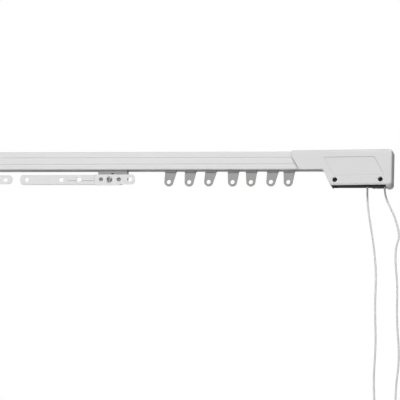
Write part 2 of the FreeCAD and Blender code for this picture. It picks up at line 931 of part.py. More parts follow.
def make_arm(label, hand, step):
    """The long arm that carries the curtain's leading hem past the middle."""
    body = new_body(label)
    front = S.plate_front + S.plate_sheet + step
    rear = front + S.plate_sheet
    here = S.master_place
    tip, end = S.arm_tip - here, S.arm_end - here
    bottom = S.arm_bottom
    if hand < 0:
        bottom = S.arm_bottom + S.plate_sheet + S.arm_gap
    strip = box(tip, bottom, end, S.arm_top)
    pad(body, "d", front, rear, mirrored(hand, strip))
    corners = [(tip * hand, S.arm_top), (tip * hand, bottom)]
    round_edges(body, S.arm_round, "d", *corners)
    if hand > 0:
        flange_start = tip + S.arm_round
        flange = box(flange_start, bottom, end, bottom + S.plate_sheet)
        pad(body, "d", front, front + S.arm_return, mirrored(hand, flange))
    bead = [
        (front, hole_z - S.arm_bead_half),
        (front - S.arm_bead_height, hole_z - S.arm_bead_half / 2),
        (front, hole_z + S.arm_bead_half),
    ]
    middle = S.arm_round_hole_place
    stretches = [
        (S.arm_bead_start, middle - S.arm_bead_break),
        (middle + S.arm_bead_break, S.arm_bead_end),
    ]
    for start, stop in stretches:
        pad(body, "s", *span(hand, start - here, stop - here), bead)
    square = S.arm_square_place - here
    half = S.arm_square_half
    cuts = [
        (S.arm_tip_hole_place - here, hole_z, S.arm_hole),
        (middle - here, hole_z, S.arm_hole),
        (-S.plate_screw_inset, hole_z, screw_hole),
        (-S.plate_hole_near, hole_z, S.plate_hole),
        (S.plate_hole_far, hole_z, S.plate_hole),
        box(square - half, hole_z - half, square + half, hole_z + half),
    ]
    pocket(body, "d", front, rear, *[mirrored(hand, cut) for cut in cuts])
    return finish(body, here * hand)


for side, hand, run in (("right", 1, lower_run), ("left", -1, upper_run)):
    step = as_size(0) if hand > 0 else S.arm_step
    make_master(f"{side}_master_slide", hand, step)
    make_clamp(f"{side}_cord_clamp", hand, run)
    make_plate(f"{side}_master_plate", hand, step)
    make_arm(f"{side}_overlap_arm", hand, step)
    screw = make_screw(
        f"{side}_master_screw",
        S.plate_screw_head,
        S.plate_screw_head_height,
        S.plate_screw_shank,
        S.plate_front + step,
        S.plate_screw_length,
    )
    screw_place = (S.master_place - S.plate_screw_inset) * hand
    finish(screw, screw_place, hole_z)


# Carriers: a runner on the track's lips and an eye that swings on the runner's pin

runner_front = S.slot_front + S.neck_play
runner_rear = S.slot_rear - S.neck_play
eye_front = runner_front + S.runner_cheek
eye_rear = runner_rear - S.runner_cheek
eye_side_play = (eye_rear - eye_front - S.eye_thickness) / 2


def make_runner(label, place, lift):
    """A moulded head with two cheeks that pass through the slot and hold a pin."""
    body = new_body(label)
    half, wide = S.runner_head_half, S.runner_half
    head_low = S.rod_sheet + S.run_gap
    head = box(-half, head_low, half, S.runner_head_top)
    pad(body, "d", inner_clear, S.runner_head_rear, head)
    neck = box(-half, S.runner_collar_top, half, head_low)
    pad(body, "d", runner_front, runner_rear, neck)
    collar = box(-wide, -S.runner_drop, wide, S.runner_collar_top)
    pad(body, "d", runner_front, runner_rear, collar)
    room = box(-wide, -S.runner_drop, wide, S.pin_z + S.eye_crown + S.crown_room)
    pocket(body, "d", eye_front, eye_rear, room)
    pad(body, "d", eye_front, eye_rear, (0, S.pin_z, S.pin_radius))
    return finish(body, place, lift)


def make_eye(label, place, lift, lean):
    """The swinging eye: a shouldered tongue with a round hole for the curtain's hook."""
    body = new_body(label)
    front = eye_front + eye_side_play
    rear = eye_rear - eye_side_play
    wide, low = S.eye_shoulder_half, -S.eye_shoulder
    tongue = [
        (-S.eye_crown, 0),
        (-S.eye_crown_half, S.eye_crown_top),
        (S.eye_crown_half, S.eye_crown_top),
        (S.eye_crown, 0),
        (wide, low),
        (S.eye_round, -S.eye_length),
        (-S.eye_round, -S.eye_length),
        (-wide, low),
    ]
    pad(body, "d", front, rear, tongue)
    pad(body, "d", front, rear, (0, -S.eye_length, S.eye_round))
    holes = [(0, 0, S.pin_radius + S.pin_play), (0, -S.eye_length, S.hook_hole)]
    pocket(body, "d", front, rear, *holes)
    finish(body, place, lift + S.pin_z)
    doc.recompute()
    body.Placement = FreeCAD.Placement(body.Placement.Base, FreeCAD.Rotation(V(0, 1, 0), lean))
    return body


for number in range(1, len(CARRIERS) + 1):
    share = getattr(S, f"carrier_{number}_share")
    lean = getattr(S, f"carrier_{number}_lean").number
    for side, hand, lift in (("right", 1, as_size(0)), ("left", -1, inner_skin)):
        place = S.half_length * share * hand
        make_runner(f"{side}_runner_{number}", place, lift)
        make_eye(f"{side}_eye_{number}", place, lift, lean * hand)


# Wall brackets: a plate on the wall and a tongue that hooks into the housing's back

def make_bracket(label, hand):
    body = new_body(label)
    wall = S.front_reach
    middle = S.bracket_z
    half_width, half_height = S.bracket_width / 2, S.bracket_height / 2
    plate = box(-half_width, middle - half_height, half_width, middle + half_height)
    pad(body, "d", wall - S.bracket_sheet, wall, plate)
    corners = [(x, z) for x in (-half_width, half_width)
               for z in (middle - half_height, middle + half_height)]
    round_edges(body, S.bracket_round, "d", *corners)
    half = S.tongue_width / 2
    hook_rear = housing_back - S.hook_play
    tongue_top = S.tongue_z + S.bracket_sheet
    pad(body, "d", hook_rear - S.hook_sheet, wall, box(-half, S.tongue_z, half, tongue_top))
    hook = box(-half, S.tongue_z, half, S.tongue_z + S.tongue_hook)
    pad(body, "d", hook_rear - S.hook_sheet, hook_rear, hook)
    gusset = [(S.gusset_start, tongue_top), (wall, tongue_top), (wall, tongue_top + S.gusset_height)]
    for low, high in ((-half, S.gusset_sheet - half), (half - S.gusset_sheet, half)):
        pad(body, "s", low, high, gusset)
    spread = S.bracket_screw_spacing / 2
    holes = [(0, middle + z, S.bracket_screw_hole) for z in (-spread, spread)]
    pocket(body, "d", wall - S.bracket_sheet, wall, *holes)
    return finish(body, bracket_place * hand)


for side, hand in (("right", 1), ("left", -1)):
    make_bracket(f"{side}_wall_bracket", hand)


# Cord: one loop, drawn as faceted tubes along straight runs and tangent arcs

def spot(s, d, z):
    return V(as_size(s).number, as_size(d).number, as_size(z).number)


def line(start, end):
    return Part.LineSegment(start, end).toShape()


def arc(start, middle, end):
    return Part.Arc(start, middle, end).toShape()


def cord_section(start):
    """The cord's many-sided section, square to the upright run that it starts on."""
    radius = S.cord_radius.number
    sides = int(S.cord_sides.number)
    turns = [2 * math.pi * side / sides for side in range(sides + 1)]
    return Part.makePolygon([start + V(math.cos(t), math.sin(t), 0) * radius for t in turns])


def make_tube(label, edges):
    """A cord along joined edges; it prints its length and compares its volume."""
    wire = Part.Wire(edges)
    section = cord_section(edges[0].Vertexes[0].Point)
    cord = doc.addObject("Part::Feature", label)
    cord.Shape = wire.makePipeShell([section], True, False)
    expected = Part.Face(section).Area * wire.Length
    share = cord.Shape.Volume / expected
    print(f"{label}: {wire.Length:.1f} mm long, volume {share:.4f} of section times length")
    return finish(cord)


def around(centre, radius, angle):
    """A point on an upright circle, its angle in degrees from the right."""
    turn = math.radians(angle)
    return centre + V(math.cos(turn), 0, math.sin(turn)) * radius


def make_track_cord():
    """The taut loop inside the track, round the three pulleys."""
    depth, pitch = S.cord_depth, S.pulley_pitch.number
    floor = housing_floor
    rear = spot(rear_axle[0], depth, rear_axle[1])
    front = spot(front_axle[0], depth, front_axle[1])
    left = spot(-front_axle[0], depth, upper_run - S.pulley_pitch)
    edges = [
        line(spot(rear_drop, depth, floor), around(rear, pitch, 0)),
        arc(around(rear, pitch, 0), around(rear, pitch, 45), around(rear, pitch, 90)),
        line(around(rear, pitch, 90), around(left, pitch, 270)),
        arc(around(left, pitch, 270), around(left, pitch, 180), around(left, pitch, 90)),
        line(around(left, pitch, 90), around(front, pitch, 90)),
        arc(around(front, pitch, 90), around(front, pitch, 45), around(front, pitch, 0)),
        line(around(front, pitch, 0), spot(front_drop, depth, floor)),
    ]
    return make_tube("track_cord", edges)


# Share of a run that the arc at its end takes, and how many radii along the cord count as near
ARC_SHARE = 0.45
NEAR_RADII = 8


def rounded_route(label, points):
    """Straight runs joined by arcs, each as large as its two runs allow."""
    edges = []
    radii = []
    here = points[0]
    for before, corner, after in zip(points, points[1:], points[2:]):
        arrive, leave = corner - before, after - corner
        half_turn = arrive.getAngle(leave) / 2
        reach = ARC_SHARE * min(arrive.Length, leave.Length)
        radius = reach / math.tan(half_turn)
        radii.append(radius)
        arrive.normalize()
        leave.normalize()
        inward = leave - arrive
        inward.normalize()
        start, end = corner - arrive * reach, corner + leave * reach
        middle = corner + inward * (radius / math.cos(half_turn) - radius)
        edges += [line(here, start), arc(start, middle, end)]
        here = end
    edges.append(line(here, points[-1]))
    print(f"{label}: least bend radius {min(radii):.1f} mm")
    return edges


hank_place = rear_drop + S.hank_shift
hank_left = hank_place - S.hank_radius
hank_right = hank_place + S.hank_radius
hank_layer = S.cord_radius * 2 + S.hank_layer_gap
hank_front = S.cord_depth - hank_layer / 2
hank_rear = S.cord_depth + hank_layer / 2

# Steps from each exit, then from the hank's end, along s, d and z
REAR_DROP_FROM_EXIT = [
    (0, 0, 0),
    (0, 0, -24),
    (7.4, 0.1, -66),
    (12.2, -0.3, -93),
    (16.4, -0.9, -133),
    (15.0, -1.5, -181),
    (18.2, -1.9, -235),
]
REAR_DROP_FROM_HANK = [(-3.0, 0, 78), (0, 0, 32), (0, 0, 0)]
FRONT_DROP_FROM_EXIT = [
    (0, 0, 0),
    (0, 0, -14),
    (15.4, 0, -42.5),
    (24.6, 0.2, -73.5),
    (18.8, 0.4, -90),
    (18.0, 0.7, -111),
    (22.2, 1.3, -149),
    (21.8, 1.7, -201),
    (27.4, 1.9, -257),
]
FRONT_DROP_FROM_HANK = [(-1.4, 0.1, 60), (0, 0, 28), (0, 0, 0)]


def make_drop(label, exit_point, from_exit, hank_end, from_hank):
    """A stretch that hangs from the housing down to the hank."""
    points = [exit_point + V(*step) for step in from_exit]
    points += [hank_end + V(*step) for step in from_hank]
    return make_tube(label, rounded_route(label, points))


def s_bend(start, end):
    """Two equal arcs that step from one upright line to another behind it."""
    middle = (start + end) * 0.5
    reach = middle - start
    radius = (reach.y ** 2 + reach.z ** 2) / (2 * reach.y)
    half = math.asin(abs(reach.z) / radius) / 2
    rise = math.copysign(radius * math.sin(half), reach.z)
    step = V(0, radius * (1 - math.cos(half)), rise)
    return [arc(start, start + step, middle), arc(middle, end - step, end)]


def hank_edges():
    """Long loops in two layers, wound inward in the front one and outward in the rear one."""
    inward_turns = int(S.hank_inward_turns.number)
    narrowing = S.cord_radius.number + S.hank_gap.number / 2
    top = S.hank_top.number
    bottom = top - S.hank_run.number
    front, rear = hank_front.number, hank_rear.number
    radii = [S.hank_radius.number - i * narrowing for i in range(inward_turns + 1)]
    radii += radii[-2::-1]
    x = hank_left.number
    edges = []
    for count, radius in enumerate(radii):
        depth = front if count < inward_turns else rear
        downward = count % 2 == 0
        start_z, end_z = (top, bottom) if downward else (bottom, top)
        side = 1 if downward else -1
        if count == inward_turns:
            edges += s_bend(V(x, front, start_z), V(x, rear, end_z))
        else:
            edges.append(line(V(x, depth, start_z), V(x, depth, end_z)))
        crest = V(x + side * radius, depth, end_z - side * radius)
        far_x = x + side * 2 * radius
        edges.append(arc(V(x, depth, end_z), crest, V(far_x, depth, end_z)))
        x = far_x
    edges.append(line(V(x, rear, bottom), V(x, rear, top)))
    return edges


def least_gap(edges):
    """The least clear space between stretches of one cord that lie side by side."""
    wire = Part.Wire(edges)
    points = wire.discretize(Number=int(wire.Length))
    apart = int(NEAR_RADII * S.cord_radius.number)
    gaps = []
    for index, point in enumerate(points):
        gaps += [point.distanceToPoint(other) for other in points[index + apart:]]
    return min(gaps) - 2 * S.cord_radius.number


def make_tie():
    """A flat strap round the middle of the hank."""
    body = new_body("hank_tie")
    inner = S.cord_radius + S.tie_play
    outer = inner + S.tie_sheet
    rings = []
    for reach in (outer, inner):
        rings.append(box(hank_left - reach, hank_front - reach, hank_right + reach, hank_rear + reach))
    middle = S.hank_top - S.hank_run / 2
    half = S.tie_height / 2
    pad(body, "z", middle - half, middle + half, *rings)
    for reach, radius in ((outer, S.tie_round + S.tie_sheet), (inner, S.tie_round)):
        sides = (hank_left - reach, hank_right + reach)
        corners = [(s, d) for s in sides for d in (hank_front - reach, hank_rear + reach)]
        round_edges(body, radius, "z", *corners)
    return finish(body)


rear_exit = spot(rear_drop, S.cord_depth, housing_floor)
front_exit = spot(front_drop, S.cord_depth, housing_floor)
hank_start = spot(hank_left, hank_front, S.hank_top)
hank_end = spot(hank_right, hank_rear, S.hank_top)
make_track_cord()
make_drop("rear_cord_drop", rear_exit, REAR_DROP_FROM_EXIT, hank_start, REAR_DROP_FROM_HANK)
make_drop("front_cord_drop", front_exit, FRONT_DROP_FROM_EXIT, hank_end, FRONT_DROP_FROM_HANK)
make_tube("cord_hank", hank_edges())
print(f"cord_hank: least gap to itself {least_gap(hank_edges()):.2f} mm")
make_tie()


# Checks and files

doc.recompute()
for item in doc.Objects:
    if "Invalid" in item.State or "Error" in item.State:
        raise RuntimeError(f"{item.Name} is {item.State}")
os.makedirs("parts", exist_ok=True)
for part in parts:
    shape = part.Shape
    if shape.isNull() or not shape.isValid() or not shape.Solids:
        raise RuntimeError(f"{part.Label} has no valid solid")
    shape.exportStep(f"parts/{part.Label}.step")
print(f"{len(parts)} sub-parts, track {2 * S.half_length.number:.0f} mm long")
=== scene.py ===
"""Finishes, screws, cords and studio for a cord drawn curtain track on two wall brackets."""

import math

import bpy
import numpy as np
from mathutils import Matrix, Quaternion, Vector


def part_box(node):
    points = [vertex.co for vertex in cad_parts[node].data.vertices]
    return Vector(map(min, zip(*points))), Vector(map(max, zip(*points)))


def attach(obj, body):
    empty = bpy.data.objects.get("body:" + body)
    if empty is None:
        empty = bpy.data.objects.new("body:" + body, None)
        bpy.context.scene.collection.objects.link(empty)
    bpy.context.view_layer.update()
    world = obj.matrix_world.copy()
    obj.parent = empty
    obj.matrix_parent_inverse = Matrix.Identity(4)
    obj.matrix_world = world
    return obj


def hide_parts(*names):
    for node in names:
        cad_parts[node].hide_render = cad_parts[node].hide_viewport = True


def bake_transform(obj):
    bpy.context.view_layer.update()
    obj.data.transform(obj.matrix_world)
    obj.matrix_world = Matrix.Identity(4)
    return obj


bl_info = {
    "name": "Curtain Track Finish",
    "version": (1, 0, 0),
    "blender": (4, 5, 0),
    "location": "3D View > Sidebar > Curtain Track",
    "description": "Finishes, screws, cords and studio for a cord drawn curtain track",
    "category": "Object",
}

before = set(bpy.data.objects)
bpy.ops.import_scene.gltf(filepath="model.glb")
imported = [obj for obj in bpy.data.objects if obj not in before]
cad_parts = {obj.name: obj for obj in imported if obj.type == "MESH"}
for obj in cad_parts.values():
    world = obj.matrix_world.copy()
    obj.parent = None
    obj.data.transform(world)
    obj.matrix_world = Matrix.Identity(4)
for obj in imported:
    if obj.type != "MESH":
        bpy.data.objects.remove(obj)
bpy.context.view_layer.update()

SIDES = ("right", "left")
UP = Vector((0, 0, 1))

# Where the cords leave the right housing, and the two ends of the hank, in metres
REAR_EXIT = Vector((-0.0118, -0.0535, -0.029))
FRONT_EXIT = Vector((0.0142, -0.0535, -0.029))
HANK_START = Vector((0.0065, -0.0553, -0.396))
HANK_END = Vector((0.0375, -0.0517, -0.396))

# The housing's lip, measured from the housing's outer end, floor and faces, in metres
FLANGE_START = 0.0808
FLANGE_END = 0.0877
FLANGE_LEAN = 0.0006
FLANGE_HEIGHT = 0.0014
FLANGE_INSET = 0.0001

# Steps of each drop from its exit, and from the hank's end, in metres
REAR_FROM_EXIT = (
    (0, 0, 0),
    (0, 0, -0.024),
    (0.0074, 0.0001, -0.066),
    (0.0122, -0.0003, -0.093),
    (0.0164, -0.0009, -0.133),
    (0.0150, -0.0015, -0.181),
    (0.0182, -0.0019, -0.235),
)
REAR_FROM_HANK = ((-0.003, 0, 0.078), (0, 0, 0.032))
FRONT_FROM_EXIT = (
    (0, 0, 0),
    (0, 0, -0.014),
    (0.0154, 0, -0.0425),
    (0.0246, 0.0002, -0.0735),
    (0.0188, 0.0004, -0.090),
    (0.0180, 0.0007, -0.111),
    (0.0222, 0.0013, -0.149),
    (0.0218, 0.0017, -0.201),
    (0.0274, 0.0019, -0.257),
)
FRONT_FROM_HANK = ((-0.0014, 0.0001, 0.060), (0, 0, 0.028))

# The faces of the cords' tubes: their length in metres, and their number round the tube
FREE_CORD_STEP = 0.0006
FREE_CORD_SIDES = 16
TRACK_CORD_STEP = 0.0015
TRACK_CORD_SIDES = 12

# The strap, its loose end and the stitches, measured from the strap's own box, in metres
STRAP_THICKNESS = 0.0009
STRAP_THREAD = 0.0007
STRAP_BEND = 0.0016
TAIL_START = 0.006
TAIL_LAID = 0.012
TAIL_TIP = 0.004
TAIL_LIFT = 0.0004
STITCH_START = 0.0075
STITCH_END = 0.0135
STITCH_MARGIN = 0.0014
STITCH_SPACING = 0.0016

# How deep the loose end sinks into the strap, as a share of the thickness
TAIL_SEAT = 0.55

# The two kinds of screw, by the inputs of their tree, with lengths in metres
COVER_SCREW = {
    "Head radius": 0.0031,
    "Head height": 0.0024,
    "Dome": 0.0011,
    "Recess": 0.0034,
    "Slot": 0.0007,
    "Recess depth": 0.0012,
    "Shank radius": 0.0015,
    "Shank length": 0.0057,
    "Thread": 0.0003,
    "Turns": 6.0,
    "Seed": 4,
}
PLATE_SCREW = {
    **COVER_SCREW,
    "Head radius": 0.0041,
    "Dome": 0.0014,
    "Recess": 0.0056,
    "Slot": 0.0015,
    "Recess depth": 0.0018,
    "Shank radius": 0.0020,
    "Shank length": 0.0080,
    "Turns": 8.0,
    "Seed": 9,
}

# The power of the radius by which a head falls to its rim, and the share of a shank that has thread
DOME_POWER = 2.6
THREADED_SHARE = 0.82

# The bend from which an edge of a screw or a stitch stays sharp, in radians
CRISP_ANGLE = 0.7

# How much rounder than painted steel the moulded edges are
COVER_ROUNDING = 2
NYLON_ROUNDING = 1.4

# How far a face looks up before dust stays on it, how much edge wear darkens a finish, and how much
# painted shade darkens its crevices
DUST_SLOPE = 0.35
EDGE_WEAR = 0.12
CREVICE_SHADE_DARKENING = 0.5

# Each light's place from the middle of the view, and its width, in metres
LIGHTS = {
    "key": ((0.9, -2.6, 3.0), 1.2),
    "fill": ((-1.6, -3.8, 0.4), 2.6),
    "low": ((-0.5, -2.4, -2.1), 0.8),
    "side": ((2.6, -2.6, 0.6), 0.35),
    "rim": ((0.6, 3.4, 2.4), 2.0),
}

# Half the floor's width in metres, its colours, and the share of its glow that the camera sees
FLOOR_REACH = 14.0
FLOOR_PAINT = (0.82, 0.82, 0.82, 1)
FLOOR_GLOW = (0.9, 0.9, 0.9, 1)
GLOW_SHARE = 0.7
WHITE = (1, 1, 1, 1)


# Settings


def length_setting(name, description, default):
    return bpy.props.FloatProperty(
        name=name, description=description, default=default, unit="LENGTH", precision=5
    )


def whole_setting(name, description, default):
    return bpy.props.IntProperty(name=name, description=description, default=default, min=2)


def colour_setting(name, description, default):
    return bpy.props.FloatVectorProperty(
        name=name, description=description, default=default, subtype="COLOR", min=0, max=1
    )


def angle_setting(name, description, degrees):
    return bpy.props.FloatProperty(
        name=name, description=description, default=math.radians(degrees), subtype="ANGLE"
    )


def power_setting(name, description, watts):
    return bpy.props.FloatProperty(name=name, description=description, default=watts, unit="POWER")


class CurtainTrackCord(bpy.types.PropertyGroup):
    """Sizes of the draw cord and of the hank that its spare length is folded into."""

    diameter: length_setting("Diameter", "Thickness of the cord", 0.003)
    length: length_setting("Free length", "Cord outside the housing, from one exit to the other", 1.32)
    strands: whole_setting("Strands", "Strands that run each way round the braid", 4)
    pick: length_setting("Pick length", "Length of one crossing of the braid", 0.0038)
    relief: bpy.props.FloatProperty(
        name="Relief",
        description="Depth of the braid's hollows as a share of the cord's radius",
        default=0.09,
        subtype="FACTOR",
    )
    pitch_radius: length_setting("Pulley radius", "Radius of the cord's middle round a pulley", 0.006)
    hank_radius: length_setting("Hank radius", "Half the width of the hank's widest fold", 0.0155)
    hank_run: length_setting("Hank run", "Length of the hank's straight runs", 0.06)
    hank_narrowing: length_setting("Hank narrowing", "How much tighter each fold is", 0.00175)
    hank_turns: whole_setting("Hank folds", "Folds wound inward before the hank turns back", 2)


class CurtainTrackFinish(bpy.types.PropertyGroup):
    """Colours and surface sizes of the finishes."""

    enamel: colour_setting("Enamel", "Baked paint on the steel pieces", (0.80, 0.80, 0.80))
    cover: colour_setting("Covers", "Moulded end covers", (0.76, 0.76, 0.76))
    # Near black: the housings' colour, which also paints the opening under each cover as deep shade
    housing: colour_setting("Housings", "Pulley housings inside the covers", (0.018, 0.018, 0.019))
    nylon: colour_setting("Nylon", "Runners, eyes, slides and clamps", (0.37, 0.37, 0.365))
    pulley: colour_setting("Pulleys", "Moulded pulley wheels", (0.72, 0.71, 0.68))
    zinc: colour_setting("Zinc", "Plated screws and pins", (0.42, 0.43, 0.45))
    blackened: colour_setting("Blackened steel", "Screws in the covers", (0.06, 0.06, 0.062))
    cotton: colour_setting("Cord", "Braided draw cord", (0.93, 0.93, 0.92))
    strap: colour_setting("Strap", "Woven strap round the hank", (0.62, 0.62, 0.61))
    edge: length_setting("Edge radius", "How far the light rolls over an edge", 0.00025)


class CurtainTrackStudio(bpy.types.PropertyGroup):
    """The camera's place and the studio's light."""

    azimuth: angle_setting("Azimuth", "Camera's turn to the right", 10)
    elevation: angle_setting("Elevation", "Camera's height", -10)
    roll: angle_setting("Roll", "Camera's turn that brings the track level in the picture", 1.75)
    distance: length_setting("Distance", "From the camera to the track", 5.0)
    width: length_setting("Width of view", "What the picture spans", 0.603)
    middle: bpy.props.FloatVectorProperty(
        name="Middle",
        description="The point in the middle of the picture",
        default=(-0.2640, -0.064, -0.0505),
        subtype="TRANSLATION",
    )
    floor: length_setting("Floor", "How far the floor lies below the wall fixing", 2.2)
    key: power_setting("Key light", "Power of the main light", 109)
    fill: power_setting("Fill light", "Power of the light beside the camera", 31)
    low: power_setting("Low light", "Power of the light below the camera", 14)
    side: power_setting("Side light", "Power of the small light at the right", 3)
    rim: power_setting("Rim light", "Power of the light behind the track", 25)
    ambient: bpy.props.FloatProperty(
        name="Ambient", description="Strength of the light from all round", default=0.16
    )


PROPERTIES = {
    "cord": CurtainTrackCord,
    "finish": CurtainTrackFinish,
    "studio": CurtainTrackStudio,
}


def settings(context, name):
    """One of the scene's groups of settings."""
    return getattr(context.scene, f"curtain_track_{name}")


# Node trees


def add(tree, kind, inputs=(), **choices):
    """A node with its choices made and its inputs set or linked."""
    node = tree.nodes.new(kind)
    for name, value in choices.items():
        setattr(node, name, value)
    for name, value in dict(inputs).items():
        if isinstance(value, bpy.types.NodeSocket):
            tree.links.new(value, node.inputs[name])
        else:
            node.inputs[name].default_value = value
    return node


def output(tree, kind, inputs=(), **choices):
    """The first output of a new node."""
    return add(tree, kind, inputs, **choices).outputs[0]


def calc(tree, operation, first, second=0.0, third=0.0):
    """The result of a math node."""
    return output(tree, "ShaderNodeMath", {0: first, 1: second, 2: third}, operation=operation)


def times(tree, first, second):
    return calc(tree, "MULTIPLY", first, second)


def vector(tree, **axes):
    """A vector from its axes, with nought for those left out."""
    return output(tree, "ShaderNodeCombineXYZ", axes)


def axes_of(tree, place):
    return add(tree, "ShaderNodeSeparateXYZ", {0: place}).outputs


def new_tree(name, kind, inputs, outputs):
    """An empty node group with its sockets made."""
    tree = bpy.data.node_groups.new(name, kind)
    for label, socket, value in inputs:
        made = tree.interface.new_socket(label, in_out="INPUT", socket_type=f"NodeSocket{socket}")
        if value is not None:
            made.default_value = value
    for label, socket in outputs:
        tree.interface.new_socket(label, in_out="OUTPUT", socket_type=f"NodeSocket{socket}")
    return tree, tree.nodes.new("NodeGroupInput").outputs, tree.nodes.new("NodeGroupOutput").inputs


def finish_tree(name, values):
    """An empty group for a surface's colour, roughness and height, with its values as inputs."""
    inputs = [("Colour", "Color", None)] + [(label, "Float", value) for label, value in values.items()]
    outputs = [("Colour", "Color"), ("Roughness", "Float"), ("Height", "Float")]
    return new_tree(name, "ShaderNodeTree", inputs, outputs)


def surface(tree, given, result, tone, rough, height):
    """Ends a finish's group: its colour in a tone, its roughness and its height."""
    tree.links.new(shaded(tree, given["Colour"], tone), result["Colour"])
    tree.links.new(rough, result["Roughness"])
    tree.links.new(height, result["Height"])
    return tree


def on_object(tree):
    """The place on the object, in metres."""
    return add(tree, "ShaderNodeTexCoord").outputs["Object"]


def noise(tree, where, scale, detail=2.0, roughness=0.5):
    values = {"Vector": where, "Scale": scale, "Detail": detail, "Roughness": roughness}
    return add(tree, "ShaderNodeTexNoise", values).outputs["Fac"]


def stretched(tree, where, scale):
    return output(tree, "ShaderNodeMapping", {"Vector": where, "Scale": scale})


def shaded(tree, colour, factor):
    """A colour made lighter or darker by a factor near one."""
    grey = output(tree, "ShaderNodeCombineColor", {"Red": factor, "Green": factor, "Blue": factor})
    node = add(tree, "ShaderNodeMix", {0: 1.0}, data_type="RGBA", blend_type="MULTIPLY")
    tree.links.new(colour, node.inputs[6])
    tree.links.new(grey, node.inputs[7])
    return node.outputs[2]


def ranged(tree, value, low, high):
    """Low to high as the value goes from nought to one."""
    return calc(tree, "MULTIPLY_ADD", value, high - low, low)


def centred(tree, value, amount):
    """One, plus or minus half the amount as the value goes from nought to one."""
    return calc(tree, "MULTIPLY_ADD", value, amount, 1 - amount / 2)


def weighted(tree, *parts):
    """The sum of some values, each times its own weight."""
    total = 0.0
    for value, weight in parts:
        total = calc(tree, "MULTIPLY_ADD", value, weight, total)
    return total


def soft_edge_group():
    """Rounds the shading over sharp edges, and marks them."""
    tree, given, result = new_tree(
        "Soft edges",
        "ShaderNodeTree",
        [("Radius", "Float", 0.0003), ("Breakup", "Float", 500.0), ("Gain", "Float", 4.0)],
        [("Normal", "Vector"), ("Edge", "Float")],
    )
    rounded = output(tree, "ShaderNodeBevel", {"Radius": given["Radius"]}, samples=4)
    flat = add(tree, "ShaderNodeNewGeometry").outputs["Normal"]
    turn = add(tree, "ShaderNodeVectorMath", {0: rounded, 1: flat}, operation="DOT_PRODUCT")
    edge = times(tree, calc(tree, "SUBTRACT", 1.0, turn.outputs["Value"]), given["Gain"])
    broken = times(tree, edge, noise(tree, on_object(tree), given["Breakup"]))
    tree.links.new(rounded, result["Normal"])
    tree.links.new(calc(tree, "MINIMUM", broken, 1.0), result["Edge"])
    return tree


def crevice_shade_group():
    """Painted shade: marks the crevices where surfaces meet, by how closed in they are, in uneven
    patches.
    """
    tree, given, result = new_tree(
        "Crevice grime",
        "ShaderNodeTree",
        [("Reach", "Float", 0.002), ("Patches", "Float", 300.0)],
        [("Grime", "Float")],
    )
    clear = add(tree, "ShaderNodeAmbientOcclusion", {"Distance": given["Reach"]}, samples=6)
    closed = calc(tree, "SUBTRACT", 1.0, clear.outputs["AO"])
    uneven = centred(tree, noise(tree, on_object(tree), given["Patches"], detail=3.0), amount=0.6)
    tree.links.new(times(tree, closed, uneven), result["Grime"])
    return tree


def dusted(tree, tone, rough, darker, rougher):
    """A tone and a roughness with dust on the faces that look up, in soft patches."""
    normal = add(tree, "ShaderNodeNewGeometry").outputs["Normal"]
    upward = calc(tree, "SUBTRACT", axes_of(tree, normal)["Z"], DUST_SLOPE)
    patches = noise(tree, on_object(tree), scale=60.0, detail=4.0)
    dust = times(tree, calc(tree, "MAXIMUM", upward, 0.0), patches)
    return weighted(tree, (tone, 1.0), (dust, -darker)), weighted(tree, (rough, 1.0), (dust, rougher))


def enamel_group():
    """Baked paint on a rolled strip: orange peel, faint lines along the roll, and dust."""
    tree, given, result = finish_tree("Baked enamel", {"Peel": 900.0, "Roll lines": 0.5})
    where = on_object(tree)
    peel = noise(tree, where, given["Peel"], detail=1.0)
    lines = noise(tree, stretched(tree, where, scale=(2.0, 420.0, 420.0)), scale=1.0, detail=3.0)
    patches = noise(tree, where, scale=7.0, detail=3.0)
    tone = centred(tree, patches, amount=0.05)
    rough = ranged(tree, patches, low=0.24, high=0.36)
    tone, rough = dusted(tree, tone, rough, darker=0.12, rougher=0.5)
    tone = times(tree, tone, centred(tree, lines, amount=0.03))
    height = weighted(tree, (peel, 1.0), (lines, given["Roll lines"]))
    return surface(tree, given, result, tone, rough, height)


def moulding_group():
    """Moulded plastic: fine spark texture from the mould, flow marks and dust."""
    values = {"Grain": 2200.0, "Gloss": 0.35, "Grain gloss": 0.18}
    tree, given, result = finish_tree("Moulded plastic", values)
    where = on_object(tree)
    grain = noise(tree, where, given["Grain"], detail=3.0, roughness=0.7)
    flow = noise(tree, stretched(tree, where, scale=(9.0, 30.0, 45.0)), scale=1.0, detail=3.0)
    tone = centred(tree, flow, amount=0.04)
    rough = weighted(tree, (given["Gloss"], 1.0), (grain, given["Grain gloss"]))
    tone, rough = dusted(tree, tone, rough, darker=0.1, rougher=0.4)
    tone = times(tree, tone, centred(tree, grain, amount=0.05))
    return surface(tree, given, result, tone, rough, grain)


def turned_steel_group():
    """Plated steel: fine turning marks and darker stains."""
    tree, given, result = finish_tree("Turned steel", {"Marks": 5200.0})
    where = on_object(tree)
    marks = noise(tree, stretched(tree, where, scale=(1.0, 4.0, 1.0)), given["Marks"])
    stains = noise(tree, where, scale=900.0, detail=5.0, roughness=0.65)
    tone = times(tree, centred(tree, stains, amount=0.5), centred(tree, marks, amount=0.2))
    rough = ranged(tree, stains, low=0.18, high=0.48)
    return surface(tree, given, result, tone, rough, marks)


def wave(tree, phase):
    """A cosine of a phase that is counted in whole turns."""
    return calc(tree, "COSINE", times(tree, phase, math.tau))


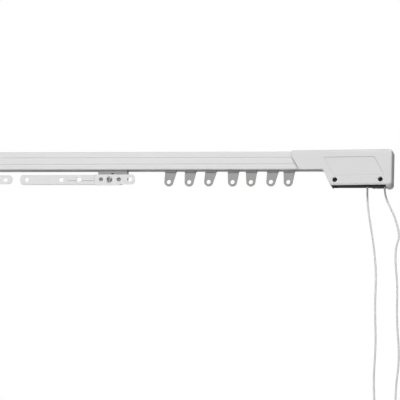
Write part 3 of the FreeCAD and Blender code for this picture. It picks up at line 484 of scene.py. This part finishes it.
def braid_group():
    """Crossing strands drawn on a cord's own map: across is round it, up is along it."""
    tree, given, result = finish_tree("Cord braid", {"Strands": 4.0, "Fibres": 5.0})
    axes = axes_of(tree, output(tree, "ShaderNodeUVMap"))
    across, along = times(tree, axes[0], given["Strands"]), axes[1]
    knuckle = times(tree, wave(tree, across), wave(tree, along))
    over = calc(tree, "GREATER_THAN", wave(tree, times(tree, along, 0.5)), 0.0)
    one = calc(tree, "ADD", across, along)
    other = calc(tree, "SUBTRACT", across, along)
    side = calc(tree, "MULTIPLY_ADD", over, calc(tree, "SUBTRACT", one, other), other)
    fibres = wave(tree, times(tree, side, given["Fibres"]))
    fuzz = noise(tree, on_object(tree), scale=5200.0, detail=3.0, roughness=0.7)
    # Painted shade and highlight: the tone follows the knuckles, darker in the braid's hollows and
    # lighter on its crests
    tone = calc(tree, "MULTIPLY_ADD", knuckle, 0.11, 0.89)
    tone = times(tree, tone, centred(tree, fuzz, amount=0.16))
    rough = ranged(tree, fuzz, low=0.72, high=0.87)
    height = weighted(tree, (fibres, 0.14), (knuckle, 0.5), (fuzz, 0.3))
    return surface(tree, given, result, tone, rough, height)


def weave_group():
    """Plain woven tape on the strap's own map, in threads."""
    tree, given, result = finish_tree("Woven tape", {})
    axes = axes_of(tree, output(tree, "ShaderNodeUVMap"))
    warp, weft = (times(tree, axis, 0.5) for axis in axes[:2])
    over = times(tree, wave(tree, warp), wave(tree, weft))
    ridges = weighted(tree, (over, 0.5), (wave(tree, axes[0]), 0.25))
    fuzz = noise(tree, on_object(tree), scale=4000.0, detail=3.0, roughness=0.7)
    # Painted shade and highlight: the tone follows the ridges, darker in the weave's dips and lighter on
    # its raised threads
    tone = calc(tree, "MULTIPLY_ADD", ridges, 0.16, 0.86)
    tone = times(tree, tone, centred(tree, fuzz, amount=0.2))
    rough = ranged(tree, fuzz, low=0.75, high=0.90)
    height = weighted(tree, (ridges, 1.0), (fuzz, 0.25))
    return surface(tree, given, result, tone, rough, height)


GROUPS = {
    "Soft edges": soft_edge_group,
    "Crevice grime": crevice_shade_group,
    "Baked enamel": enamel_group,
    "Moulded plastic": moulding_group,
    "Turned steel": turned_steel_group,
    "Cord braid": braid_group,
    "Woven tape": weave_group,
}


def shared_group(name):
    return bpy.data.node_groups.get(name) or GROUPS[name]()


def finish_material(context, name, group, colour, rounding, bump, values=(), metallic=0.0, coat=0.0):
    """A material with a shared group as its skin, and unless rounding is 0, with soft edges, wear on
    them and painted shade in its crevices.
    """
    found = bpy.data.materials.get(name)
    if found:
        return found
    finish = settings(context, "finish")
    material = bpy.data.materials.new(name)
    material.use_nodes = True
    tree = material.node_tree
    shader = tree.nodes["Principled BSDF"].inputs
    values = {"Colour": (*getattr(finish, colour), 1), **dict(values)}
    skin = add(tree, "ShaderNodeGroup", values, node_tree=shared_group(group)).outputs
    relief = add(tree, "ShaderNodeBump", {"Height": skin["Height"], "Distance": bump})
    tint = skin["Colour"]
    if rounding:
        values = {"Radius": finish.edge * rounding}
        soft = add(tree, "ShaderNodeGroup", values, node_tree=shared_group("Soft edges")).outputs
        tree.links.new(soft["Normal"], relief.inputs["Normal"])
        # Painted shade: the crevices are darkened in the colour, added to the wear on the edges
        crevice_shade_mask = output(tree, "ShaderNodeGroup", node_tree=shared_group("Crevice grime"))
        wear_and_shade = calc(tree, "MULTIPLY_ADD", soft["Edge"], -EDGE_WEAR, 1.0)
        wear_and_shade = calc(tree, "MULTIPLY_ADD", crevice_shade_mask, -CREVICE_SHADE_DARKENING, wear_and_shade)
        tint = shaded(tree, tint, wear_and_shade)
    tree.links.new(tint, shader["Base Color"])
    tree.links.new(skin["Roughness"], shader["Roughness"])
    tree.links.new(relief.outputs[0], shader["Normal"])
    shader["Metallic"].default_value = metallic
    shader["Coat Weight"].default_value = coat
    return material


def enamel(context):
    return finish_material(context, "White enamel", "Baked enamel", "enamel", 1, bump=0.00001, coat=0.15)


def zinc(context):
    return finish_material(context, "Zinc plate", "Turned steel", "zinc", 1, bump=0.00003, metallic=1.0)


def blackened_steel(context):
    name = "Blackened steel"
    return finish_material(context, name, "Turned steel", "blackened", 0, bump=0.00003, metallic=0.6)


def braided_cotton(context):
    values = {"Strands": float(settings(context, "cord").strands)}
    return finish_material(context, "Braided cord", "Cord braid", "cotton", 0, 0.00025, values)


def woven_tape(context):
    return finish_material(context, "Woven strap", "Woven tape", "strap", 0, bump=0.0002)


def plastic(context, name, colour, rounding, grain, gloss, bump):
    values = {"Grain": grain, "Gloss": gloss}
    return finish_material(context, name, "Moulded plastic", colour, rounding, bump, values)


def stitch_thread(context):
    return plastic(context, "Stitch thread", "cotton", 0, grain=3000.0, gloss=0.7, bump=0.00002)


def dress(names, material):
    """Gives the frame's own pieces a material."""
    for name in names:
        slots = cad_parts[name].data.materials
        slots.clear()
        slots.append(material)


# Meshes


def new_mesh(name, corners, faces, places=None):
    """A mesh from its corners and faces, with a map if the faces' places on it are given."""
    mesh = bpy.data.meshes.new(name)
    mesh.from_pydata(corners, [], faces)
    if places:
        mesh.uv_layers.new(name="UVMap").data.foreach_set("uv", places)
    return mesh


def new_piece(mesh, material, body):
    """A piece made from a mesh, riding on a body if one is given."""
    piece = bpy.data.objects.new(mesh.name, mesh)
    bpy.context.scene.collection.objects.link(piece)
    mesh.materials.clear()
    mesh.materials.append(material)
    if body:
        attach(piece, body)
    return piece


def read_line(route):
    """Points along the smooth line of a route's own spline."""
    curve = bpy.data.curves.new("route", "CURVE")
    curve.dimensions = "3D"
    curve.resolution_u = 12
    spline = curve.splines.new("NURBS")
    spline.points.add(len(route) - 1)
    for knot, point in zip(spline.points, route):
        knot.co = (*point, 1)
    spline.order_u = 3
    spline.use_endpoint_u = True
    holder = bpy.data.objects.new("route", curve)
    bpy.context.scene.collection.objects.link(holder)
    graph = bpy.context.evaluated_depsgraph_get()
    mesh = bpy.data.meshes.new_from_object(holder.evaluated_get(graph))
    line = np.array([corner.co for corner in mesh.vertices])
    bpy.data.objects.remove(holder)
    bpy.data.curves.remove(curve)
    bpy.data.meshes.remove(mesh)
    return line


def evenly(line, step):
    """The same line with its points an even step apart."""
    reach = np.concatenate(([0], np.cumsum(np.linalg.norm(np.diff(line, axis=0), axis=1))))
    count = max(2, int(round(reach[-1] / step)) + 1)
    marks = np.linspace(0, reach[-1], count)
    return np.stack([np.interp(marks, reach, line[:, axis]) for axis in range(3)], axis=1), marks


def carried_frames(line):
    """At each point, the line's direction and two directions square to it that never twist."""
    forward = np.gradient(line, axis=0)
    forward /= np.linalg.norm(forward, axis=1)[:, None]
    side = np.array((0.0, 1.0, 0.0))
    sides = []
    for direction in forward:
        side = side - direction * side.dot(direction)
        side /= np.linalg.norm(side)
        sides.append(side)
    sides = np.array(sides)
    return sides, np.cross(forward, sides)


def braided_tube(name, line, step, sides, cord):
    """A cord along a line, with the knuckles of its braid raised, and a map for its strands."""
    line, marks = evenly(line, step)
    across, up = carried_frames(line)
    turn = np.arange(sides) / sides
    along = marks / cord.pick
    knuckle = np.cos(math.tau * along)[:, None] * np.cos(math.tau * cord.strands * turn)[None, :]
    radius = cord.diameter / 2 * (1 - cord.relief / 2 + cord.relief / 2 * knuckle)
    angle = math.tau * turn[None, :, None]
    ring = np.cos(angle) * across[:, None] + np.sin(angle) * up[:, None]
    corners = (line[:, None] + radius[:, :, None] * ring).reshape(-1, 3)
    faces, places = [], []
    for row in range(len(line) - 1):
        low, high = row * sides, (row + 1) * sides
        for column in range(sides):
            after = (column + 1) % sides
            faces.append((low + column, low + after, high + after, high + column))
            left, right = column / sides, (column + 1) / sides
            bottom, top = along[row], along[row + 1]
            places += [left, bottom, right, bottom, right, top, left, top]
    last = (len(line) - 1) * sides
    for cap in (range(sides - 1, -1, -1), range(last, last + sides)):
        faces.append(tuple(cap))
        places += [0.0, 0.0] * sides
    mesh = new_mesh(name, corners.tolist(), faces, places)
    mesh.shade_smooth()
    return mesh, line


def grown(name, tree, points, edges, values):
    """What a geometry tree makes from points and edges, as a plain mesh."""
    seed = bpy.data.meshes.new(f"{name}_seed")
    seed.from_pydata(points, edges, [])
    holder = bpy.data.objects.new(name, seed)
    modifier = holder.modifiers.new(tree.name, "NODES")
    modifier.node_group = tree
    for item in tree.interface.items_tree:
        if item.in_out == "INPUT" and item.name in values:
            modifier[item.identifier] = values[item.name]
    bpy.context.scene.collection.objects.link(holder)
    graph = bpy.context.evaluated_depsgraph_get()
    mesh = bpy.data.meshes.new_from_object(holder.evaluated_get(graph))
    holder.modifiers.clear()
    bpy.data.objects.remove(holder)
    bpy.data.meshes.remove(seed)
    mesh.name = name
    return mesh


# Geometry trees


def form_tree(name, sizes):
    """An empty geometry tree with its places, its sizes and its finish as inputs."""
    inputs = [("Geometry", "Geometry", None)]
    for label, value in sizes.items():
        inputs.append((label, "Int" if isinstance(value, int) else "Float", value))
    inputs.append(("Finish", "Material", None))
    return new_tree(name, "GeometryNodeTree", inputs, [("Geometry", "Geometry")])


def set_at_points(tree, given, result, points, form, facing, size=(1, 1, 1)):
    """Ends a tree: a form at each point, made real, smooth where it is round, in its finish."""
    values = {"Points": points, "Instance": form, "Rotation": facing, "Scale": size}
    placed = output(tree, "GeometryNodeInstanceOnPoints", values)
    whole = output(tree, "GeometryNodeRealizeInstances", {"Geometry": placed})
    smooth = output(tree, "GeometryNodeSetShadeSmooth", {"Geometry": whole}, domain="FACE")
    bend = add(tree, "GeometryNodeInputMeshEdgeAngle").outputs["Unsigned Angle"]
    sharp = calc(tree, "GREATER_THAN", bend, CRISP_ANGLE)
    values = {"Geometry": smooth, "Selection": sharp, "Shade Smooth": False}
    crisp = output(tree, "GeometryNodeSetShadeSmooth", values, domain="EDGE")
    dressed = output(tree, "GeometryNodeSetMaterial", {"Geometry": crisp, "Material": given["Finish"]})
    tree.links.new(dressed, result["Geometry"])
    return tree


def moved(tree, geometry, height, turn=0.0):
    """Geometry lifted along its axis and turned about it."""
    values = {"Geometry": geometry, "Translation": vector(tree, Z=height), "Rotation": (0, 0, turn)}
    return output(tree, "GeometryNodeTransform", values)


# Screws


def screw_head(tree, given):
    """A domed head with a cross recess, on its bearing face."""
    radius, height = given["Head radius"], given["Head height"]
    values = {"Vertices": 40, "Side Segments": 1, "Fill Segments": 7, "Radius": radius, "Depth": height}
    head = output(tree, "GeometryNodeMeshCylinder", values)
    axes = axes_of(tree, output(tree, "GeometryNodeInputPosition"))
    top = calc(tree, "GREATER_THAN", axes[2], 0.0)
    flat = vector(tree, X=axes[0], Y=axes[1])
    out = add(tree, "ShaderNodeVectorMath", {0: flat}, operation="LENGTH").outputs["Value"]
    share = calc(tree, "POWER", calc(tree, "DIVIDE", out, radius), DOME_POWER)
    fall = times(tree, times(tree, share, given["Dome"]), -1.0)
    values = {"Geometry": head, "Selection": top, "Offset": vector(tree, Z=fall)}
    domed = output(tree, "GeometryNodeSetPosition", values)
    domed = moved(tree, domed, times(tree, height, 0.5))
    deep = times(tree, given["Recess depth"], 2.0)
    size = vector(tree, X=given["Recess"], Y=given["Slot"], Z=deep)
    bar = output(tree, "GeometryNodeMeshCube", {"Size": size})
    values = {"Mesh 1": domed, "Self Intersection": True}
    cut = add(tree, "GeometryNodeMeshBoolean", values, operation="DIFFERENCE", solver="EXACT")
    for turn in (0.0, math.pi / 2):
        tree.links.new(moved(tree, bar, height, turn), cut.inputs["Mesh 2"])
    return cut.outputs[0]


def screw_shank(tree, given):
    """The shank's core and the ridge of its thread."""
    core = calc(tree, "SUBTRACT", given["Shank radius"], given["Thread"])
    values = {"Vertices": 24, "Radius": core, "Depth": given["Shank length"]}
    shank = output(tree, "GeometryNodeMeshCylinder", values)
    shank = moved(tree, shank, times(tree, given["Shank length"], -0.5))
    values = {
        "Resolution": 16,
        "Rotations": given["Turns"],
        "Start Radius": core,
        "End Radius": calc(tree, "MULTIPLY_ADD", given["Thread"], -0.5, given["Shank radius"]),
        "Height": times(tree, given["Shank length"], THREADED_SHARE),
    }
    spiral = output(tree, "GeometryNodeCurveSpiral", values)
    thickness = times(tree, given["Thread"], 0.5)
    profile = output(tree, "GeometryNodeCurvePrimitiveCircle", {"Resolution": 4, "Radius": thickness})
    values = {"Curve": spiral, "Profile Curve": profile, "Fill Caps": True}
    ridge = output(tree, "GeometryNodeCurveToMesh", values)
    return shank, moved(tree, ridge, times(tree, given["Shank length"], -1.0))


def screw_tree():
    """A domed, cross recessed screw with a rolled thread, set at each point and facing forward."""
    tree, given, result = form_tree("Cross head screws", COVER_SCREW)
    joined = add(tree, "GeometryNodeJoinGeometry")
    for part in (screw_head(tree, given), *screw_shank(tree, given)):
        tree.links.new(part, joined.inputs[0])
    points = output(tree, "GeometryNodeMeshToPoints", {"Mesh": given["Geometry"]})
    values = {"Max": math.pi / 2, "Seed": given["Seed"]}
    spin = add(tree, "FunctionNodeRandomValue", values, data_type="FLOAT").outputs[1]
    facing = vector(tree, X=math.pi / 2, Y=spin)
    return set_at_points(tree, given, result, points, joined.outputs[0], facing)


def screw_places(node, radius, head):
    """Where the heads of a group of upright screws bear, from the group's own box."""
    low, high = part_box(node)
    across = sorted({round(low.x + radius, 6), round(high.x - radius, 6)})
    return [(x, low.y + head, (low.z + high.z) / 2) for x in across]


class CURTAINTRACK_OT_screws(bpy.types.Operator):
    """Detailed screws in the covers and the master plates"""

    bl_idname = "curtain_track.screws"
    bl_label = "Screws"

    def execute(self, context):
        tree = screw_tree()
        for side in SIDES:
            for node, sizes, steel, body in (
                (f"{side}_cover_screws", COVER_SCREW, blackened_steel(context), f"{side}_track"),
                (f"{side}_master_screw", PLATE_SCREW, zinc(context), f"{side}_master"),
            ):
                places = screw_places(node, sizes["Head radius"], sizes["Head height"])
                mesh = grown(f"{node}_detail", tree, places, [], {**sizes, "Finish": steel})
                piece = new_piece(mesh, steel, body)
                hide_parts(node)
        dress(["right_axle_pins", "left_axle_pin"], zinc(context))
        return {"FINISHED"}


class CURTAINTRACK_OT_steel(bpy.types.Operator):
    """Enamel on the track sections, plates, arms and wall brackets"""

    bl_idname = "curtain_track.steel"
    bl_label = "Painted steel"

    def execute(self, context):
        names = ["outer_track", "inner_track"]
        for side in SIDES:
            names += [f"{side}_master_plate", f"{side}_overlap_arm", f"{side}_wall_bracket"]
        dress(names, enamel(context))
        return {"FINISHED"}


def housing_flange(side):
    """The lip of a housing's floor that reaches the slanted wall of its cover."""
    hand = 1 if side == "right" else -1
    low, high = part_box(f"{side}_pulley_housing")
    outer = high.x if hand > 0 else low.x
    near, far = outer - hand * FLANGE_START, outer - hand * FLANGE_END
    bottom, top = low.z, low.z + FLANGE_HEIGHT
    profile = ((near, bottom), (far, bottom), (far - hand * FLANGE_LEAN, top), (near, top))
    depths = (low.y + FLANGE_INSET, high.y - FLANGE_INSET)
    corners = [(x, depth, z) for depth in depths for x, z in profile]
    faces = [(0, 1, 2, 3), (7, 6, 5, 4)]
    faces += [(step, step + 4, (step + 1) % 4 + 4, (step + 1) % 4) for step in range(4)]
    if hand > 0:
        faces = [face[::-1] for face in faces]
    return new_mesh(f"{side}_housing_flange", corners, faces)


class CURTAINTRACK_OT_mouldings(bpy.types.Operator):
    """Moulded end covers, pulley housings and pulleys"""

    bl_idname = "curtain_track.mouldings"
    bl_label = "Covers and housings"

    def execute(self, context):
        covers = plastic(
            context, "Cover moulding", "cover", COVER_ROUNDING, grain=2200.0, gloss=0.22, bump=0.000006
        )
        # The housings' near-black colour also paints the opening under each cover as deep shade
        housings = plastic(
            context, "Housing moulding", "housing", 1, grain=1600.0, gloss=0.42, bump=0.00003
        )
        wheels = plastic(context, "Pulley moulding", "pulley", 1, grain=2600.0, gloss=0.3, bump=0.00001)
        for side in SIDES:
            new_piece(housing_flange(side), housings, f"{side}_track")
        dress([f"{side}_end_cover" for side in SIDES], covers)
        dress([f"{side}_pulley_housing" for side in SIDES], housings)
        dress(["right_front_pulley", "right_rear_pulley", "left_pulley"], wheels)
        return {"FINISHED"}


class CURTAINTRACK_OT_carriers(bpy.types.Operator):
    """Nylon runners, eyes, master slides and cord clamps"""

    bl_idname = "curtain_track.carriers"
    bl_label = "Carriers and slides"

    def execute(self, context):
        nylon = plastic(
            context, "Grey nylon", "nylon", NYLON_ROUNDING, grain=1500.0, gloss=0.34, bump=0.00002
        )
        kinds = ("_runner_", "_eye_", "_master_slide", "_cord_clamp")
        dress([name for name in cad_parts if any(kind in name for kind in kinds)], nylon)
        return {"FINISHED"}


# Cords and strap


def pulley_arc(node, radius, start, end, step=10):
    """Points round a pulley between two angles, in degrees from the right."""
    low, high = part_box(node)
    centre = (low + high) / 2
    step = step if end > start else -step
    turns = [math.radians(angle) for angle in range(start, end + step, step)]
    return [centre + Vector((math.cos(turn), 0, math.sin(turn))) * radius for turn in turns]


class CURTAINTRACK_OT_track_cord(bpy.types.Operator):
    """The cord inside the track, round its three pulleys"""

    bl_idname = "curtain_track.track_cord"
    bl_label = "Cord in the track"

    def execute(self, context):
        cord = settings(context, "cord")
        radius = cord.pitch_radius
        route = [REAR_EXIT]
        route += pulley_arc("right_rear_pulley", radius, 0, 90)
        route += pulley_arc("left_pulley", radius, 270, 90)
        route += pulley_arc("right_front_pulley", radius, 90, 0)
        route.append(FRONT_EXIT)
        line = np.array([tuple(point) for point in route])
        mesh, line = braided_tube("track_cord_braid", line, TRACK_CORD_STEP, TRACK_CORD_SIDES, cord)
        piece = new_piece(mesh, braided_cotton(context), None)
        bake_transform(piece)
        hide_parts("track_cord")
        return {"FINISHED"}


def half_turn(middle, side, radius, points=6):
    """Points round one fold of the hank, below it or above it."""
    wide = radius / math.cos(math.pi / points / 2)
    turns = [math.pi * (step + 0.5) / points for step in range(points)]
    return [middle - Vector((math.cos(turn), 0, math.sin(turn))) * side * wide for turn in turns]


def hank_route(cord):
    """The folds of the hank, wound inward in front and back outward behind."""
    radii = [cord.hank_radius - fold * cord.hank_narrowing for fold in range(cord.hank_turns + 1)]
    radii += radii[-2::-1]
    top, bottom = HANK_START.z, HANK_START.z - cord.hank_run
    x = HANK_START.x
    route = [Vector((x, HANK_START.y, top))]
    for count, radius in enumerate(radii):
        depth = HANK_START.y if count < cord.hank_turns else HANK_END.y
        down = count % 2 == 0
        level, side = (bottom, 1) if down else (top, -1)
        route.append(Vector((x, depth, level)))
        route += half_turn(Vector((x + side * radius, depth, level)), side, radius)
        x += side * 2 * radius
        route.append(Vector((x, depth, level)))
    route.append(Vector((x, HANK_END.y, top)))
    return route


def free_route(cord):
    """The whole free cord: down to the hank, through its folds, and back up."""
    route = [REAR_EXIT + Vector(step) for step in REAR_FROM_EXIT]
    route += [HANK_START + Vector(step) for step in REAR_FROM_HANK]
    route += hank_route(cord)
    route += [HANK_END + Vector(step) for step in FRONT_FROM_HANK[::-1]]
    return route + [FRONT_EXIT + Vector(step) for step in FRONT_FROM_EXIT[::-1]]


def strap_outline(low, high, inset, bend, points=6):
    """A rounded oblong round the hank, seen from above."""
    outline = []
    corners = ((1, 1), (-1, 1), (-1, -1), (1, -1))
    for number, (right, back) in enumerate(corners):
        x = (high.x if right > 0 else low.x) - right * (inset + bend)
        y = (high.y if back > 0 else low.y) - back * (inset + bend)
        for step in range(points):
            turn = math.pi / 2 * (number + step / (points - 1))
            outline.append(Vector((x + bend * math.cos(turn), y + bend * math.sin(turn), 0)))
    return outline


def strap_section(height, thickness):
    """A flat tape's section: the distances out from its middle, and the heights."""
    rim, end = thickness / 2, height / 2
    lower = [(-rim, rim - end), (0, -end), (rim, rim - end)]
    return lower + [(reach, -rise) for reach, rise in lower[::-1]]


def strap_mesh(name, runs, section, thread):
    """Tape laid along each run of points, closed or open, with a map in threads."""
    corners, faces, places = [], [], []
    for points, closed in runs:
        base, count = len(corners), len(section)
        line = np.array([tuple(point) for point in points])
        if closed:
            ahead = np.roll(line, -1, axis=0) - np.roll(line, 1, axis=0)
        else:
            ahead = np.gradient(line, axis=0)
        ahead /= np.linalg.norm(ahead, axis=1)[:, None]
        outward = np.stack([ahead[:, 1], -ahead[:, 0], np.zeros(len(line))], axis=1)
        for point, out in zip(line, outward):
            corners += [tuple(point + out * reach + np.array((0, 0, rise))) for reach, rise in section]
        steps = np.linalg.norm(np.roll(line, -1, axis=0) - line, axis=1)
        marks = np.concatenate(([0], np.cumsum(steps))) / thread
        rims = np.linalg.norm(np.diff(np.array(section + section[:1]), axis=0), axis=1)
        widths = np.concatenate(([0], np.cumsum(rims))) / thread
        for row in range(len(line) - (0 if closed else 1)):
            near, far = base + row * count, base + (row + 1) % len(line) * count
            for column in range(count):
                after = (column + 1) % count
                faces.append((near + column, far + column, far + after, near + after))
                left, right = widths[column], widths[column + 1]
                start, end = marks[row], marks[row + 1]
                places += [start, left, end, left, end, right, start, right]
        if not closed:
            faces.append(tuple(range(base, base + count)))
            faces.append(tuple(range(len(corners) - 1, len(corners) - 1 - count, -1)))
            places += [0.0, 0.0] * (2 * count)
    return new_mesh(name, corners, faces, places)


def stitch_tree():
    """Short thread stitches spaced along the edges given."""
    sizes = {"Spacing": STITCH_SPACING, "Length": 0.0012, "Thickness": 0.0003}
    tree, given, result = form_tree("Stitches", sizes)
    rows = output(tree, "GeometryNodeMeshToCurve", {"Mesh": given["Geometry"]})
    values = {"Curve": rows, "Length": given["Spacing"]}
    spaced = output(tree, "GeometryNodeResampleCurve", values, mode="LENGTH")
    ahead = output(tree, "GeometryNodeInputTangent")
    facing = output(tree, "FunctionNodeAlignRotationToVector", {"Vector": ahead}, axis="X")
    bead = output(tree, "GeometryNodeMeshUVSphere", {"Segments": 10, "Rings": 6, "Radius": 0.5})
    size = vector(tree, X=given["Length"], Y=given["Thickness"], Z=given["Thickness"])
    return set_at_points(tree, given, result, spaced, bead, facing, size)


def add_strap(context):
    """The strap round the hank with its loose end, and the stitches that hold it."""
    low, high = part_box("hank_tie")
    middle = (low.z + high.z) / 2
    ring = strap_outline(low, high, STRAP_THICKNESS / 2, STRAP_BEND)
    ring = [point + UP * middle for point in ring]
    front = low.y - STRAP_THICKNESS * TAIL_SEAT
    laid = ((low.x + TAIL_START, 0), (high.x - TAIL_LAID, 0), (high.x - TAIL_TIP, TAIL_LIFT))
    tail = [Vector((x, front - lift, middle)) for x, lift in laid]
    section = strap_section(high.z - low.z, STRAP_THICKNESS)
    mesh = strap_mesh("hank_strap", [(ring, True), (tail, False)], section, STRAP_THREAD)
    strap = new_piece(mesh, woven_tape(context), "right_track")
    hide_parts("hank_tie")

    top, bottom = high.z - STITCH_MARGIN, low.z + STITCH_MARGIN
    left, right = low.x + STITCH_START, low.x + STITCH_END
    face = front - STRAP_THICKNESS / 2
    points = [(x, face, z) for x, z in ((left, top), (right, top), (right, bottom), (left, bottom))]
    edges = [(0, 1), (1, 2), (2, 3), (3, 0)]
    thread = stitch_thread(context)
    mesh = grown("strap_stitches", stitch_tree(), points, edges, {"Finish": thread})
    return strap, new_piece(mesh, thread, "right_track")


class CURTAINTRACK_OT_free_cord(bpy.types.Operator):
    """The hanging cord with its tied hank and the strap round it"""

    bl_idname = "curtain_track.free_cord"
    bl_label = "Hanging cord and strap"

    def execute(self, context):
        cord = settings(context, "cord")
        line = read_line(free_route(cord))
        mesh, line = braided_tube("free_cord", line, FREE_CORD_STEP, FREE_CORD_SIDES, cord)
        piece = new_piece(mesh, braided_cotton(context), "right_track")
        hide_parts("rear_cord_drop", "front_cord_drop", "cord_hank")
        strap, stitches = add_strap(context)
        return {"FINISHED"}


# Studio


def lit_world(scene, ambient):
    """White behind the object, and a dimmer light from all round."""
    world = bpy.data.worlds.new("Studio")
    world.use_nodes = True
    tree = world.node_tree
    tree.nodes.clear()
    seen = output(tree, "ShaderNodeBackground", {"Color": WHITE})
    cast = output(tree, "ShaderNodeBackground", {"Color": WHITE, "Strength": ambient})
    camera = add(tree, "ShaderNodeLightPath").outputs["Is Camera Ray"]
    mixed = output(tree, "ShaderNodeMixShader", {0: camera, 1: cast, 2: seen})
    add(tree, "ShaderNodeOutputWorld", {"Surface": mixed})
    scene.world = world


def aimed(name, data, place, target, roll=0.0):
    """A light or a camera at its place, turned to a target."""
    holder = bpy.data.objects.new(name, data)
    holder.location = place
    holder.rotation_mode = "QUATERNION"
    holder.rotation_quaternion = (target - place).to_track_quat("-Z", "Y") @ Quaternion((0, 0, 1), roll)
    bpy.context.scene.collection.objects.link(holder)
    return holder


def round_light(name, size, power):
    light = bpy.data.lights.new(name, "AREA")
    light.shape = "DISK"
    light.size = size
    light.energy = power
    return light


def floor_material():
    """Matt pale paint that glows a little for the camera and lets views from below through."""
    material = bpy.data.materials.new("Studio floor")
    material.use_nodes = True
    tree = material.node_tree
    paint = tree.nodes["Principled BSDF"]
    pale = output(tree, "ShaderNodeRGB")
    pale.default_value = FLOOR_PAINT
    patches = noise(tree, on_object(tree), scale=1.5, detail=4.0)
    tree.links.new(shaded(tree, pale, centred(tree, patches, amount=0.02)), paint.inputs["Base Color"])
    paint.inputs["Roughness"].default_value = 0.9
    glow = output(tree, "ShaderNodeEmission", {"Color": FLOOR_GLOW})
    camera = add(tree, "ShaderNodeLightPath").outputs["Is Camera Ray"]
    lifted = times(tree, camera, GLOW_SHARE)
    top = output(tree, "ShaderNodeMixShader", {0: lifted, 1: paint.outputs[0], 2: glow})
    clear = output(tree, "ShaderNodeBsdfTransparent")
    below = add(tree, "ShaderNodeNewGeometry").outputs["Backfacing"]
    mixed = output(tree, "ShaderNodeMixShader", {0: below, 1: top, 2: clear})
    tree.links.new(mixed, tree.nodes["Material Output"].inputs["Surface"])
    return material


def lay_floor(scene, depth):
    """A wide floor below the track. A wide floor, which the tools leave out of the
    object.
    """
    quarters = ((-1, -1), (1, -1), (1, 1), (-1, 1))
    corners = [(x * FLOOR_REACH, y * FLOOR_REACH, -depth) for x, y in quarters]
    mesh = new_mesh("studio_floor", corners, [(0, 1, 2, 3)])
    mesh.materials.append(floor_material())
    floor = bpy.data.objects.new("studio_floor", mesh)
    scene.collection.objects.link(floor)


def place_camera(studio):
    """The camera at its distance and angles from the middle of the view."""
    across = math.cos(studio.elevation)
    back = Vector((math.sin(studio.azimuth) * across, -math.cos(studio.azimuth) * across, 0))
    back.z = math.sin(studio.elevation)
    camera = bpy.data.cameras.new("camera")
    camera.sensor_width = 36
    camera.lens = camera.sensor_width * studio.distance / studio.width
    camera.clip_start, camera.clip_end = 0.1, 60
    middle = Vector(studio.middle)
    return aimed("camera", camera, middle + back * studio.distance, middle, studio.roll)


class CURTAINTRACK_OT_studio(bpy.types.Operator):
    """Pale floor, soft lights and the camera"""

    bl_idname = "curtain_track.studio"
    bl_label = "Studio"

    def execute(self, context):
        scene, studio = context.scene, settings(context, "studio")
        lit_world(scene, studio.ambient)
        lay_floor(scene, studio.floor)
        target = Vector(studio.middle)
        for name, (step, size) in LIGHTS.items():
            light = round_light(name, size, getattr(studio, name))
            aimed(name, light, target + Vector(step), target)
        scene.camera = place_camera(studio)
        scene.view_settings.view_transform = "Standard"
        return {"FINISHED"}


STEPS = (
    CURTAINTRACK_OT_studio,
    CURTAINTRACK_OT_free_cord,
    CURTAINTRACK_OT_track_cord,
    CURTAINTRACK_OT_steel,
    CURTAINTRACK_OT_mouldings,
    CURTAINTRACK_OT_carriers,
    CURTAINTRACK_OT_screws,
)


class CURTAINTRACK_PT_panel(bpy.types.Panel):
    """Lists the curtain track's steps and their settings"""

    bl_label = "Curtain Track"
    bl_idname = "CURTAINTRACK_PT_panel"
    bl_space_type = "VIEW_3D"
    bl_region_type = "UI"
    bl_category = "Curtain Track"

    def draw(self, context):
        layout = self.layout
        for step in STEPS:
            layout.operator(step.bl_idname)
        for name in PROPERTIES:
            box = layout.box()
            box.label(text=name.title())
            group = settings(context, name)
            for prop in group.bl_rna.properties:
                if not prop.is_readonly and prop.identifier != "name":
                    box.prop(group, prop.identifier)


def register():
    for made in (*PROPERTIES.values(), *STEPS, CURTAINTRACK_PT_panel):
        bpy.utils.register_class(made)
    for name, group in PROPERTIES.items():
        setattr(bpy.types.Scene, f"curtain_track_{name}", bpy.props.PointerProperty(type=group))


def unregister():
    for name in PROPERTIES:
        delattr(bpy.types.Scene, f"curtain_track_{name}")
    for made in (CURTAINTRACK_PT_panel, *reversed(STEPS), *PROPERTIES.values()):
        bpy.utils.unregister_class(made)


def main():
    register()
    for step in STEPS:
        family, action = step.bl_idname.split(".")
        getattr(getattr(bpy.ops, family), action)()


if __name__ == "__main__":
    main()
